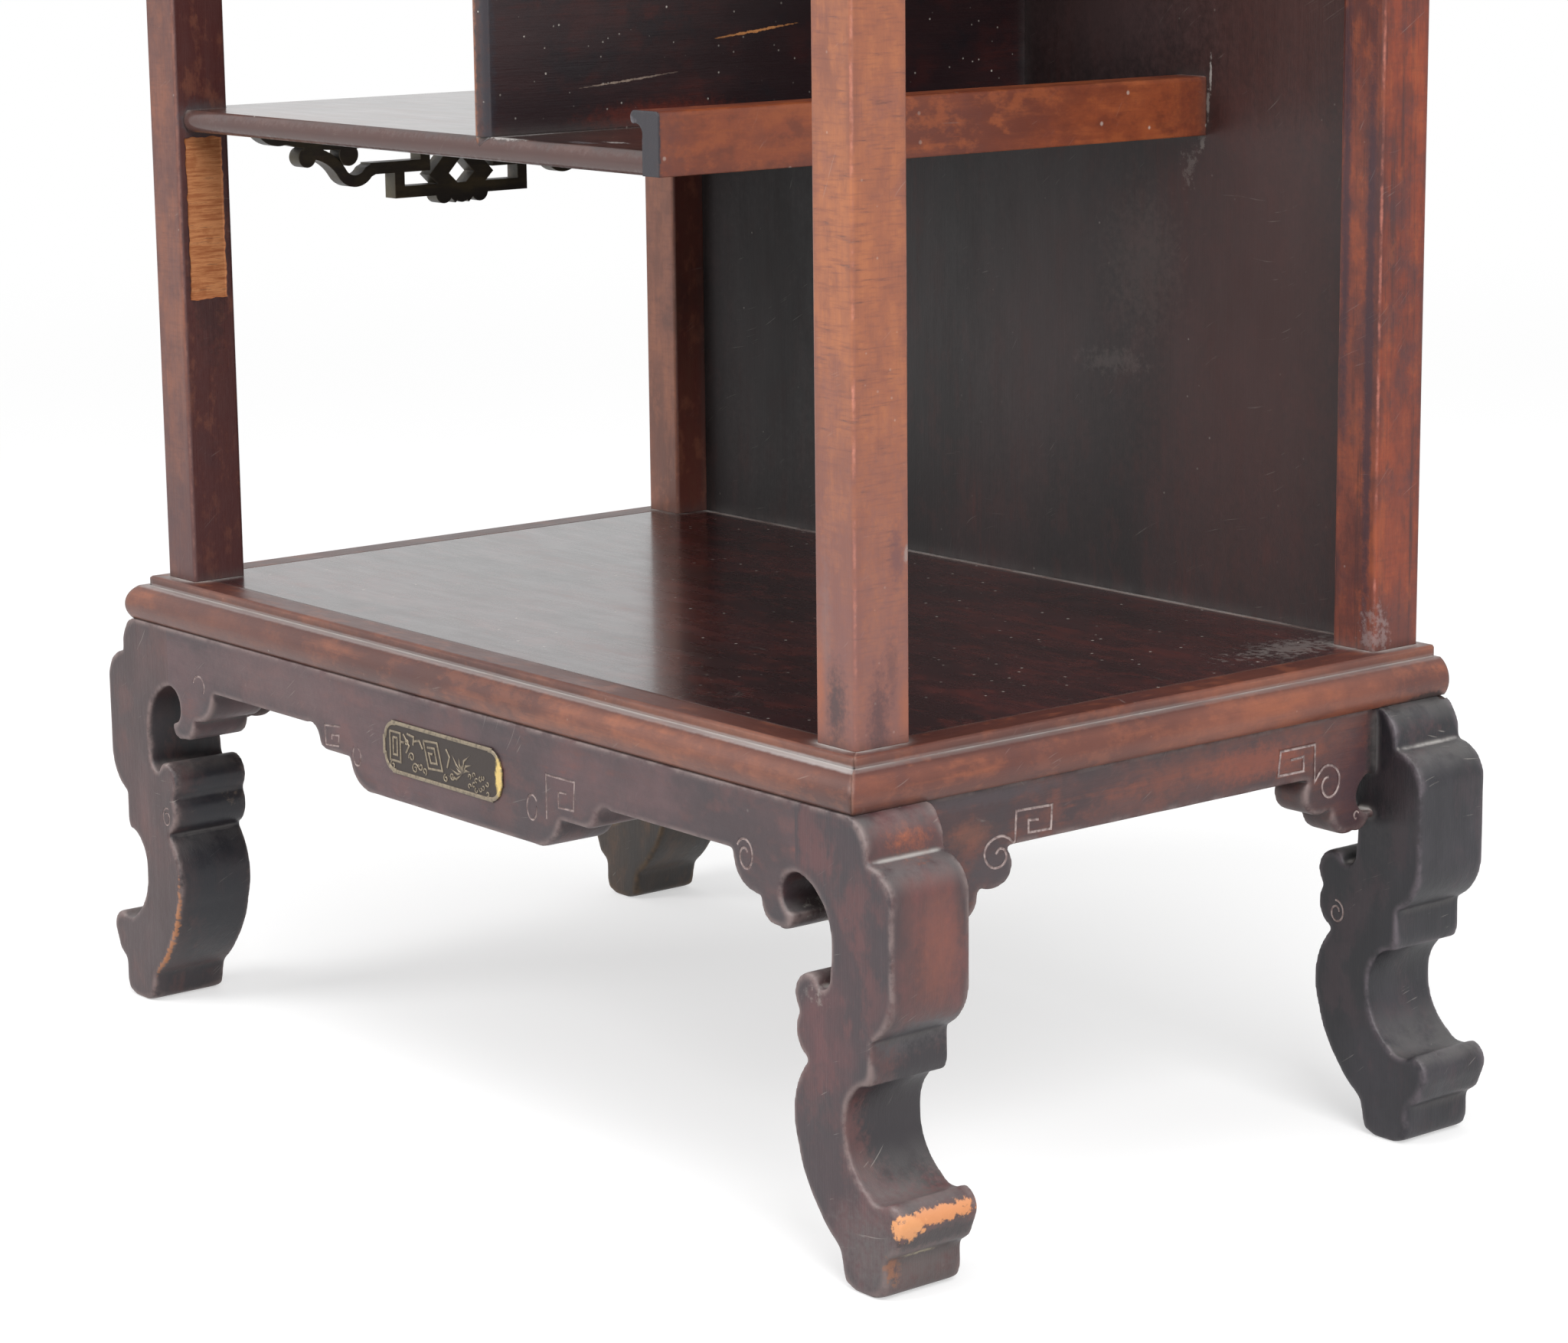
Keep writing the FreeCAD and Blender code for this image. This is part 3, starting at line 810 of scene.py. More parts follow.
def mesh_piece(name: str, mesh: bmesh.types.BMesh, smooth: bool = True) -> bpy.types.Object:
    """Makes an object of a mesh whose faces are turned outwards, and frees the mesh.

    Args:
        name: The object's name.
        mesh: What was built.
        smooth: Whether its faces shade smoothly.

    Returns:
        The object, linked to the scene.
    """
    bmesh.ops.recalc_face_normals(mesh, faces=mesh.faces[:])
    for face in mesh.faces:
        face.smooth = smooth
    return linked_mesh(name, mesh)


def modified(piece: bpy.types.Object,
             changes: Sequence[tuple[str, Mapping[str, object]]]) -> bpy.types.Mesh:
    """Runs modifiers on an object and gives the mesh that comes out.

    Args:
        piece: The object; it stays as it is, without them.
        changes: Each modifier's type and settings, in order.

    Returns:
        A new mesh.
    """
    for kind, settings in changes:
        modifier = piece.modifiers.new(kind.lower(), kind)
        for name, value in settings.items():
            setattr(modifier, name, value)
    graph = bpy.context.evaluated_depsgraph_get()
    mesh = bpy.data.meshes.new_from_object(piece.evaluated_get(graph))
    piece.modifiers.clear()
    return mesh


def without(piece: bpy.types.Object, cutter: bpy.types.Object, solver: str) -> bpy.types.Mesh:
    """Gives an object's mesh with another object's shape taken away."""
    return modified(piece, [("BOOLEAN", {"operation": "DIFFERENCE", "object": cutter, "solver": solver})])


def dropped(piece: bpy.types.Object) -> None:
    """Takes a helper object and its mesh out of the scene.

    Args:
        piece: The object.
    """
    data = piece.data
    bpy.data.objects.remove(piece)
    bpy.data.meshes.remove(data)


def fill_slots(piece: bpy.types.Object, materials: Sequence[bpy.types.Material]) -> None:
    """Puts materials in an object's slots and keeps which face has which.

    Args:
        piece: The object.
        materials: The materials in the order of its slots.
    """
    for index, material in enumerate(materials):
        if index < len(piece.data.materials):
            piece.data.materials[index] = material
        else:
            piece.data.materials.append(material)


def dressed(piece: bpy.types.Object, slot: str, *materials: bpy.types.Material,
            stands_for: Sequence[str] = ()) -> bpy.types.Object:
    """Gives a new piece its materials and its body.

    Args:
        piece: The new piece.
        slot: Not used.
        materials: Its materials in the order of its slots.
        stands_for: The nodes that it replaces.

    Returns:
        The piece.
    """
    fill_slots(piece, materials)
    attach(piece, BODY)
    if stands_for:
        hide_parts(*stands_for)
    return piece


# Base with legs and aprons


RIPPLES = ((0, 7.3, 2, 11.0), (1, 8.1, 0, 13.0), (2, 9.7, 1, 10.0))


@dataclass(frozen=True)
class Chip:
    """A broken-out bit of an edge, in millimetres."""

    middle: Triple
    reach: Triple

    def add_to(self, mesh: bmesh.types.BMesh) -> None:
        """Adds the ragged lump that is cut away.

        Args:
            mesh: The mesh that gets it.
        """
        made = bmesh.ops.create_icosphere(mesh, subdivisions=3, radius=1.0)
        for vert in made["verts"]:
            ragged = 1.0 + 0.35 * noise.noise(vert.co * 2.3 + Vector(self.middle))
            vert.co = Vector(m + r * c * ragged for m, r, c in zip(self.middle, self.reach, vert.co)) * MM


@dataclass
class CarvedBase:
    """Four scroll-foot legs and four aprons, softened by wear, with their engraved lines."""

    voxel: float = 1.6
    rounds: int = 7
    foot_rounds: int = 12
    verge_rounds: int = 60
    foot_height: float = 70.0
    seat_height: float = 303.0
    front_seam: float = 380.2
    side_seams: tuple[float, float] = (-203.3, 205.3)
    apron_low: float = 205.0
    seat_fade: float = 4.0
    foot_fade: float = 25.0
    calm_height: float = 30.0
    wave: float = 0.22
    wide_rounds: int = 34
    bulge_low: float = 0.4
    bulge_span: float = 0.8
    verge_gain: float = 3.0
    line_depth: float = 1.9
    line_lift: float = -0.1
    nodes: tuple[str, ...] = (
        "leg_front_left", "leg_front_right", "leg_back_left", "leg_back_right",
        "apron_front", "apron_back", "apron_left", "apron_right")
    cuts: list[tuple[Drawing, Rod]] = field(default_factory=list)
    chips: list[Chip] = field(default_factory=list)

    def __post_init__(self) -> None:
        """Draws the engraved lines and lists the chips."""
        self._draw_front()
        self._draw_right()
        self.chips += [
            Chip((452.0, 262.0, 309.0), (13.0, 8.0, 5.5)), Chip((436.0, 268.0, 309.0), (9.0, 6.0, 4.0)),
            Chip((398.0, 206.5, 232.0), (5.0, 5.0, 7.0)), Chip((-171.0, -270.0, 240.0), (4.0, 3.0, 3.0)),
        ]

    def _cut(self, face: Drawing, points: Sequence[tuple[float, float]], width: float = 1.5) -> None:
        """Notes one engraved line."""
        self.cuts.append((face, Rod(points, width, self.line_depth, lift=self.line_lift, sides=6)))

    def _draw_front(self) -> None:
        """Draws the front apron's fret squares, ovals and curls."""
        self._cut(FRONT, [(-139.6, 269.9), (-160.0, 267.8), (-159.0, 253.6), (-142.5, 254.9),
                          (-141.5, 263.0), (-151.0, 262.0), (-151.0, 258.5)])
        self._cut(FRONT, spiral((-118.2, 251.7), 7.4, 6.6, 130.0, 0.85, 0.72))
        self._cut(FRONT, [(114.1, 247.7), (114.3, 278.6), (146.7, 278.8), (145.0, 258.9), (128.2, 258.3),
                          (128.2, 268.7), (137.3, 269.2)])
        self._cut(FRONT, spiral((97.6, 252.5), 9.4, 7.8, 35.0, 0.93, 0.68))
        self._cut(FRONT, spiral((-334.5, 268.0), 9.5, 7.0, 165.0, -0.55, 0.95))
        self._cut(FRONT, spiral((329.9, 263.2), 12.0, 4.4, 150.0, -1.3, 0.76), 1.7)
        self._cut(FRONT, spiral((-391.0, 156.0), 8.0, 3.6, 60.0, 1.2, 0.8), 1.2)
        self._cut(INNER, spiral((396.0, 155.0), 8.6, 3.2, 100.0, -1.25, 0.85), 1.7)

    def _draw_right(self) -> None:
        """Draws the right apron's two keys, each ending in a curl."""
        near_curl = [(-133.2, 270.8), (-139.4, 273.3), (-147.5, 271.8), (-152.8, 267.5), (-153.8, 261.5),
                     (-150.5, 255.8), (-144.6, 253.0), (-138.6, 254.3), (-135.3, 258.6), (-136.8, 263.6),
                     (-141.1, 265.2), (-144.6, 262.2)]
        self._cut(RIGHT, [(-107.4, 279.0), (-116.3, 279.9), (-116.2, 271.8), (-96.7, 271.1), (-95.8, 286.7),
                          (-126.9, 287.7), (-127.9, 266.0)] + eased(near_curl), 2.0)
        far_curl = [(151.0, 268.6), (155.6, 272.4), (161.0, 273.3), (167.0, 270.6), (170.6, 265.6),
                    (170.9, 260.0), (168.6, 254.4), (164.4, 251.2), (159.0, 251.4), (155.2, 255.4),
                    (154.4, 260.4), (156.8, 264.4), (160.6, 265.4)]
        self._cut(RIGHT, [(123.2, 282.4), (135.8, 283.1), (136.0, 273.0), (111.6, 273.0), (113.5, 289.7),
                          (146.8, 289.7), (147.0, 263.5)] + eased(far_curl), 1.9)
        self._cut(RIGHT, spiral((188.5, 233.8), 2.9, 2.3, 20.0, 0.7, 0.9), 1.3)

    def _joined(self) -> bpy.types.Object:
        """Joins copies of the nodes.

        Returns:
            One helper object.
        """
        whole = bmesh.new()
        for name in self.nodes:
            whole.from_mesh(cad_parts[name].data)
        bmesh.ops.remove_doubles(whole, verts=whole.verts[:], dist=WELD)
        return mesh_piece("base_block", whole)

    def _soften(self, mesh: bpy.types.Mesh) -> None:
        """Rounds the edges as long wear does, and keeps on the mesh where edges and corners are.

        Args:
            mesh: The fine mesh of the whole base, changed in place.
        """
        count = len(mesh.vertices)
        spots = np.empty(count * 3)
        mesh.vertices.foreach_get("co", spots)
        spots = spots.reshape(-1, 3)
        ends = np.empty(len(mesh.edges) * 2, dtype=np.int64)
        mesh.edges.foreach_get("vertices", ends)
        one, two = ends.reshape(-1, 2).T
        degree = np.bincount(ends, minlength=count)[:, None]

        def summed(values: np.ndarray) -> np.ndarray:
            """Adds up each point's neighbours."""
            return np.bincount(one, values[two], count) + np.bincount(two, values[one], count)

        def relaxed(points: np.ndarray, share: np.ndarray | float) -> np.ndarray:
            """Moves each point towards the middle of its neighbours."""
            total = np.stack([summed(points[:, axis]) for axis in range(3)], axis=1)
            return points + share * (total / degree - points)

        seat = np.clip((self.seat_height * MM - spots[:, 2:3]) / (self.seat_fade * MM), 0.0, 1.0)
        foot = np.clip((self.foot_height * MM - spots[:, 2:3]) / (self.foot_fade * MM), 0.0, 1.0)
        for _ in range(self.rounds):
            spots = relaxed(spots, 0.5 * seat)
        for _ in range(self.foot_rounds):
            spots = relaxed(spots, 0.5 * foot)
        phase = spots / MM
        ripple = sum(np.sin(phase[:, axis] / step + np.sin(phase[:, other] / drift) * 2.0)
                     for axis, step, other, drift in RIPPLES) / len(RIPPLES)
        mesh.vertices.foreach_set("co", spots.ravel())
        mesh.update()
        out = np.array([tuple(n.vector) for n in mesh.vertex_normals])
        calm = np.clip((self.calm_height * MM - spots[:, 2:3]) / (self.calm_height * MM), 0.0, 1.0)
        spots = spots - out * ((ripple[:, None] + 1.0) * 0.5 * self.wave * MM) * seat * (1.0 - calm)
        mesh.vertices.foreach_set("co", spots.ravel())
        wide = spots
        for _ in range(self.wide_rounds):
            wide = relaxed(wide, 0.5)
        bulge = ((spots - wide) * out).sum(axis=1) / MM
        masks = {name: np.clip((sign * bulge - self.bulge_low) / self.bulge_span, 0.0, 1.0)
                 for name, sign in (("arris", 1.0), ("nook", -1.0))}
        spread = masks["arris"]
        for _ in range(self.verge_rounds):
            spread = summed(spread) / degree[:, 0]
        masks["verge"] = np.clip(spread * self.verge_gain, 0.0, 1.0)
        for name, values in masks.items():
            kept = mesh.attributes.new(name, "FLOAT", "POINT")
            kept.data.foreach_set("value", values.astype(np.float32))
        mesh.update()

    def _cutter(self) -> bpy.types.Object:
        """Makes all that is cut away.

        Returns:
            One helper object, with a slot for the lines and one for the chips.
        """
        away = bmesh.new()
        for face, rod in self.cuts:
            rod.add_to(away, face)
        for face in away.faces:
            face.material_index = 1
        lines = len(away.faces)
        for chip in self.chips:
            chip.add_to(away)
        away.faces.ensure_lookup_table()
        for face in away.faces[lines:]:
            face.material_index = 2
        return mesh_piece("base_cutter", away)

    def _owner(self, spot: Vector) -> str:
        """Names the piece that a place belongs to.

        Args:
            spot: The place in metres.

        Returns:
            The name of its node.
        """
        x, y, z = (c / MM for c in spot)
        hand = "left" if x < 0 else "right"
        if self.side_seams[0] < y < self.side_seams[1]:
            return "apron_" + hand
        depth = "front" if y < 0 else "back"
        if abs(x) < self.front_seam and z > self.apron_low:
            return "apron_" + depth
        return f"leg_{depth}_{hand}"

    @staticmethod
    def _grain(name: str) -> Grain:
        """Gives the way that the fibres of a leg or an apron run."""
        upright, across = name.startswith("leg"), name in ("apron_front", "apron_back")
        return Grain.UPRIGHT if upright else Grain.ACROSS if across else Grain.DEPTH

    def lacquers(self) -> dict[str, bpy.types.Material]:
        """Gives each piece's lacquer by its node's name."""
        return {name: LEG_FINISHES[name].lay(name + "_lacquer", self._grain(name), BASE_SEED,
                                             LEG_MARKS.get(name, ()), LEG_TINTS_AND_SHADE.get(name, ()))
                for name in self.nodes}

    def build(self, materials: Mapping[str, bpy.types.Material], dust: bpy.types.Material,
              chipped: bpy.types.Material) -> Iterator[bpy.types.Object]:
        """Builds the eight pieces.

        Args:
            materials: Each piece's lacquer by its node's name.
            dust: The fill of the engraved lines.
            chipped: The wood in the chips.

        Yields:
            Each piece.
        """
        block = self._joined()
        fine = modified(block, [("REMESH", {"mode": "VOXEL", "voxel_size": self.voxel * MM})])
        dropped(block)
        self._soften(fine)
        whole = linked("base_whole", fine)
        cutter = self._cutter()
        for piece in (whole, cutter):
            fill_slots(piece, (next(iter(materials.values())), dust, chipped))
        carved = without(whole, cutter, "MANIFOLD")
        LOG.info("base: %d points before the cuts, %d after", len(fine.vertices), len(carved.vertices))
        dropped(whole)
        dropped(cutter)
        yield from self._parts(carved, materials, dust, chipped)

    def _parts(self, carved: bpy.types.Mesh, materials: Mapping[str, bpy.types.Material],
               dust: bpy.types.Material, chipped: bpy.types.Material) -> Iterator[bpy.types.Object]:
        """Saws the carved whole into its pieces along their joints.

        Args:
            carved: The mesh of the whole base.
            materials: Each piece's lacquer by its node's name.
            dust: The fill of the engraved lines.
            chipped: The wood in the chips.

        Yields:
            Each piece.
        """
        whole = bmesh.new()
        whole.from_mesh(carved)
        bpy.data.meshes.remove(carved)
        seams = [((s * self.front_seam * MM, 0, 0), (1, 0, 0)) for s in (-1, 1)]
        seams += [((0, y * MM, 0), (0, 1, 0)) for y in self.side_seams]
        for spot, way in seams:
            bmesh.ops.bisect_plane(whole, geom=whole.verts[:] + whole.edges[:] + whole.faces[:],
                                   dist=SAW_SNAP, plane_co=spot, plane_no=way)
        owners = np.array([self.nodes.index(self._owner(f.calc_center_median())) for f in whole.faces])
        sawn = bpy.data.meshes.new("sawn")
        whole.to_mesh(sawn)
        whole.free()
        for index, name in enumerate(self.nodes):
            part = bmesh.new()
            part.from_mesh(sawn)
            part.faces.ensure_lookup_table()
            others = [part.faces[i] for i in np.flatnonzero(owners != index)]
            bmesh.ops.delete(part, geom=others, context="FACES")
            for face in part.faces:
                face.smooth = True
            sawn_rim = [edge for edge in part.edges if edge.is_boundary]
            for edge in sawn_rim:
                edge.smooth = False
            bmesh.ops.holes_fill(part, edges=sawn_rim, sides=0)
            yield dressed(linked_mesh(name + "_carved", part), "legs", materials[name], dust, chipped,
                          stands_for=[name])
        bpy.data.meshes.remove(sawn)


# Post with its bare patch


@dataclass
class ScarredPost:
    """Front left post, with the bare place where a bracket was glued on."""

    node: str = "post_front_left"
    face_x: float = -373.5
    y_span: tuple[float, float] = (-239.0, -207.5)
    z_span: tuple[float, float] = (557.0, 679.0)
    depth: float = 0.9
    cell: float = 1.5
    ragged: float = 1.2
    scribed: float = 0.35
    clear: float = 2.0

    def _cutter(self) -> bpy.types.Object:
        """Makes what is cut away, with ragged edges and a scribed floor.

        Returns:
            A helper object.
        """
        rows = int((self.z_span[1] - self.z_span[0]) / self.cell)
        columns = int((self.y_span[1] - self.y_span[0]) / self.cell)
        mesh = bmesh.new()
        layers = []
        for outer in (False, True):
            grid = []
            for row in range(rows + 1):
                line = []
                for column in range(columns + 1):
                    y = self.y_span[0] + (self.y_span[1] - self.y_span[0]) * column / columns
                    z = self.z_span[0] + (self.z_span[1] - self.z_span[0]) * row / rows
                    rim = column in (0, columns) or row in (0, rows)
                    if rim:
                        y += self.ragged * noise.noise(Vector((y * 0.11, z * 0.19, 1.0)))
                        z += self.ragged * noise.noise(Vector((y * 0.17, z * 0.13, 7.0)))
                    scribe = self.scribed * noise.noise(Vector((y * 0.03, z * 0.55, 3.0)))
                    x = self.face_x + (self.clear if outer else -self.depth + scribe)
                    line.append(mesh.verts.new(Vector((x, y, z)) * MM))
                grid.append(line)
            for row in range(rows):
                for column in range(columns):
                    mesh.faces.new((grid[row][column], grid[row][column + 1],
                                    grid[row + 1][column + 1], grid[row + 1][column]))
            layers.append(grid)
        inner, outer = (self._rim(grid) for grid in layers)
        for index in range(len(inner)):
            after = (index + 1) % len(inner)
            mesh.faces.new((inner[index], inner[after], outer[after], outer[index]))
        for face in mesh.faces:
            face.material_index = 1
        return mesh_piece("post_cutter", mesh)

    @staticmethod
    def _rim(grid: list[list[bmesh.types.BMVert]]) -> list[bmesh.types.BMVert]:
        """Gives a grid's outer points.

        Args:
            grid: The grid, row by row.

        Returns:
            The points in order round it.
        """
        right = [line[-1] for line in grid[1:-1]]
        left = [line[0] for line in reversed(grid[1:-1])]
        return grid[0] + right + list(reversed(grid[-1])) + left

    def lacquer(self) -> bpy.types.Material:
        """Gives the post's own lacquer."""
        return POST_FINISHES[self.node].lay(self.node + "_lacquer", Grain.UPRIGHT, POST_SEED,
                                            POST_MARKS[self.node], POST_TINTS_AND_SHADE[self.node], STICKS[self.node])

    def build(self, lacquer: bpy.types.Material, bare: bpy.types.Material) -> bpy.types.Object:
        """Cuts the patch into a copy of the post.

        Args:
            lacquer: The post's finish.
            bare: The wood in the patch.

        Returns:
            The piece that stands for the post.
        """
        solid = bmesh.new()
        solid.from_mesh(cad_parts[self.node].data)
        bmesh.ops.remove_doubles(solid, verts=solid.verts[:], dist=WELD)
        post = mesh_piece(self.node + "_scarred", solid, smooth=False)
        cutter = self._cutter()
        for piece in (post, cutter):
            fill_slots(piece, (lacquer, bare))
        plain = post.data
        post.data = without(post, cutter, "EXACT")
        bpy.data.meshes.remove(plain)
        dropped(cutter)
        return dressed(post, "case", lacquer, bare, stands_for=[self.node])


# Plaque


@dataclass
class Plaque:
    """Cast brass plate with a stepped outline, a raised rim and generic fret and leaf relief."""

    node: str = "plaque"
    middle: tuple[float, float] = (-9.0, 267.25)
    half: tuple[float, float] = (73.2, 19.3)
    corner: float = 12.5
    step: float = 1.6
    notch: float = 0.4
    arc_steps: int = 10
    field_lift: float = 0.8
    rim: float = 3.2
    rim_depth: float = 1.6
    leaf_root: tuple[float, float] = (26.0, -5.0)

    def _outline(self, inset: float) -> list[tuple[float, float]]:
        """Gives the plate's outline, with a small step where each corner's arc begins and ends.

        Args:
            inset: How far it lies inside the plate's edge.

        Returns:
            The points in order round it.
        """
        points = []
        radius = self.corner - inset
        for quarter in range(4):
            sx, sy = ((1, 1), (-1, 1), (-1, -1), (1, -1))[quarter]
            cx = sx * (self.half[0] - self.corner - self.step)
            cy = sy * (self.half[1] - self.corner - self.step * self.notch)
            straight = (self.half[0] - inset, self.half[1] - inset)
            start = math.pi / 2 * quarter
            arc = []
            for index in range(self.arc_steps + 1):
                turn = start + math.pi / 2 * index / self.arc_steps
                arc.append((cx + radius * math.cos(turn), cy + radius * math.sin(turn)))
            on_side = (sx * straight[0], cy - sy * self.notch)
            on_level = (cx + sx * self.notch, sy * straight[1])
            enter, leave = (on_side, on_level) if quarter % 2 == 0 else (on_level, on_side)
            points += [enter] + arc + [leave]
        return [(self.middle[0] + u, self.middle[1] + v) for u, v in points]

    def _slab(self, mesh: bmesh.types.BMesh, inset: float, lift: float) -> None:
        """Adds the outline as a solid slab on the apron.

        Args:
            mesh: The mesh that gets it.
            inset: How far it lies inside the plate's edge.
            lift: How far it stands off the apron.
        """
        line = self._outline(inset)
        low = [mesh.verts.new(FRONT.at(u, v, 0.0)) for u, v in line]
        high = [mesh.verts.new(FRONT.at(u, v, lift)) for u, v in line]
        mesh.faces.new(low)
        mesh.faces.new(list(reversed(high)))
        for index in range(len(line)):
            after = (index + 1) % len(line)
            mesh.faces.new((low[index], high[index], high[after], low[after]))

    def _relief(self) -> Iterator[Rod]:
        """Gives the frets, curls and leaves in the plate's own place.

        Yields:
            Each rod of the relief.
        """
        u0, v0 = self.middle
        ru, rv = self.leaf_root
        frets = [
            [(-64, 11), (-51, 11), (-51, -10), (-64, -10), (-64, 11)],
            [(-60, 7), (-55, 7), (-55, -5.5), (-60, -5.5), (-60, 7)],
            [(-47, 11), (-40, 3.5), (-44, -2)], [(-51, 5), (-46, 5)], [(-42, 12), (-34, 11), (-35, 5)],
            [(-22, 10.5), (-5, 11.5), (1, -7.5), (-16, -8.5), (-22, 10.5)],
            [(-17, 6.5), (-8.5, 7), (-5.5, -3.5), (-13, -4), (-15.5, 2.5), (-10.5, 2.5)],
            [(-34, 8), (-27, 9.5), (-23, 4)], [(6, 9), (10, 4), (7, -4)],
        ]
        for line in frets:
            yield Rod([(u0 + u, v0 + v) for u, v in line], 1.9, 1.3, lift=self.field_lift)
        for u, v, radius, angle, turns in (
                (-61, -13.5, 3.4, 60, 1.2), (-37, -4, 3.6, 200, -1.2), (-33, -11.5, 4.0, 20, 1.3),
                (-26, -9, 3.0, 150, 1.1), (-21, -11.5, 2.6, 300, 1.0), (-43, 5.5, 2.4, 0, 1.0),
                (5, -12, 2.8, 90, 1.1), (13, -9, 3.0, 10, -1.1)):
            yield Rod(spiral((u0 + u, v0 + v), radius, 0.9, angle, turns), 1.4, 1.2, lift=self.field_lift)
        for index in range(9):
            lean = math.radians(20 + 22 * index)
            reach = 8.0 + 4.5 * (index % 3)
            tip = (ru + reach * math.cos(lean) * 1.25, rv + reach * math.sin(lean) * 0.95)
            bow = (ru + reach * 0.55 * math.cos(lean + 0.3), rv + reach * 0.55 * math.sin(lean + 0.3))
            leaf = [(u0 + a, v0 + b) for a, b in (self.leaf_root, bow, tip)]
            yield Rod(leaf, 2.0, 1.2, lift=self.field_lift, tapered=True)
        for index in range(12):
            u = 34 + 4.1 * (index % 6) + (index % 2)
            v = -12.5 + 7.0 * (index // 6) + 2.0 * math.sin(index * 2.1)
            yield Rod(spiral((u0 + u, v0 + v), 1.9, 1.0, 50 * index, 0.8), 1.3, 1.0, lift=self.field_lift)

    def build(self, brass: bpy.types.Material) -> bpy.types.Object:
        """Builds the plate with its rim and relief.

        Args:
            brass: The plate's finish.

        Returns:
            The piece that stands for the plaque.
        """
        mesh = bmesh.new()
        self._slab(mesh, 0.0, self.field_lift)
        rim = Rod(self._outline(self.rim / 2), self.rim, self.rim_depth, True, self.field_lift, sides=12)
        rim.add_to(mesh, FRONT)
        for rod in self._relief():
            rod.add_to(mesh, FRONT)
        plate = mesh_piece("plaque_cast", mesh, smooth=False)
        return dressed(plate, "brass", brass, stands_for=[self.node])


# Finishes of the pieces


def tones(*channels: Triple) -> dict[str, Paint]:
    """Gives the deep, body, glow and worn colours of a finish, in this order, or the first of them."""
    return {name: Paint(*shade) for name, shade in zip(("deep", "body", "glow", "worn"), channels)}


BARE_SEED = 4
CHIP_SEED = 9
BASE_SEED = 40
POST_SEED = 2
CASE_SEED = 3
CHIPPED = RawWood(Paint(70, 52, 46), Paint(44, 32, 30), Paint(24, 18, 18))
POST = Lacquer(**tones((122, 74, 60), (154, 95, 67), (174, 108, 70), (194, 126, 106)), gloss=0.3,
               streaks=0.35, checks=1.0, mottle=0.5, stains=0.4, stain=Paint(116, 74, 70), wear=0.9,
               dust=0.8, specks=0.3, rounding=1.2)
POST_FINISHES: dict[str, Lacquer] = {
    "post_front_right": POST,
    "post_front_left": replace(POST, **tones((78, 46, 44), (106, 66, 56), (130, 80, 60)),
                               stain=Paint(62, 40, 42), worn=Paint(150, 106, 94), wear=0.5, checks=0.5),
    "post_back_right": replace(POST, **tones((62, 28, 26), (122, 56, 34), (154, 76, 40)),
                               stain=Paint(58, 34, 40), stains=0.5, worn=Paint(172, 104, 88),
                               streaks=0.85, checks=0.25),
    "post_back_left": replace(POST, **tones((104, 63, 50), (142, 90, 71), (156, 99, 74)),
                              stain=Paint(70, 46, 46), worn=Paint(150, 108, 92), wear=0.5, checks=0.4),
}
MOULDING = Lacquer(**tones((76, 44, 38), (108, 64, 50), (142, 84, 58), (158, 116, 100)), gloss=0.26,
                   streaks=0.35, mottle=0.35, checks=0.1, stains=0.3, wear=0.6, dust=1.0, specks=0.4,
                   rounding=4.0, nook_reach=16.0)
RAIL_FINISHES: dict[str, Lacquer] = {
    "right": replace(MOULDING, **tones((92, 50, 40), (126, 72, 54), (150, 86, 58)), glow_share=0.4),
}
LIP = Lacquer(**tones((96, 46, 32), (136, 68, 40), (158, 84, 46), (166, 108, 78)), gloss=0.3,
              streaks=0.35, mottle=0.6, checks=0.1, stains=0.35, stain=Paint(92, 48, 42), wear=0.5,
              dust=0.5, specks=0.5, speck_scale=50.0, speck_pick=0.45)
BOARD = Lacquer(**tones((36, 14, 15), (54, 22, 22), (84, 34, 28), (104, 74, 64)), gloss=0.14,
                glow_share=0.3, streaks=0.15, mottle=0.5, stains=0.2, stain=Paint(24, 12, 14), wear=0.5,
                dust=0.9, specks=0.7, speck_scale=70.0, speck_pick=0.0, coat=0.42, relief=0.3)
PARTITION = replace(BOARD, **tones((32, 16, 20), (45, 24, 26), (88, 32, 24)), gloss=0.26, glow_share=0.35,
                    streaks=1.0, mottle=0.2, mottle_scale=26.0, stains=0.7, stain=Paint(20, 16, 22),
                    scratches=0.0, specks=1.0, speck_scale=100.0, coat=0.0, relief=0.9)
BACK = Lacquer(**tones((24, 17, 18), (38, 25, 26), (66, 32, 29), (90, 66, 60)), gloss=0.34,
               glow_share=0.35, streaks=0.6, mottle=0.3, stains=0.3, stain=Paint(20, 14, 16), wear=0.4,
               dust=0.7, specks=0.25, relief=0.9)
SHELF = Lacquer(**tones((42, 25, 22), (62, 39, 33), (84, 50, 40), (120, 92, 82)), gloss=0.2,
                glow_share=0.4, streaks=0.4, mottle=0.5, wear=0.6, dust=0.6, specks=0.4, coat=0.6,
                relief=0.7)
FRET = Lacquer(**tones((30, 24, 18), (54, 45, 31), (78, 66, 42), (118, 102, 72)), gloss=0.36, streaks=0.3,
               wear=0.7, dust=0.4, specks=0.1, rounding=1.2)
LEG = Lacquer(**tones((55, 42, 46), (90, 55, 57), (108, 62, 60), (150, 130, 126)), gloss=0.34,
              glow_share=0.2, streaks=0.15, mottle=0.5, mottle_scale=34.0, stains=0.5,
              stain=Paint(46, 42, 46), scratches=0.2, drawn_out=0.45, wear=0.5, dust=1.0, lying=0.15,
              corner_shade=0.9, specks=0.4, speck_scale=60.0, speck_pick=0.85, relief=1.7, verge=0.75,
              edges=Edges.SOFTENED)
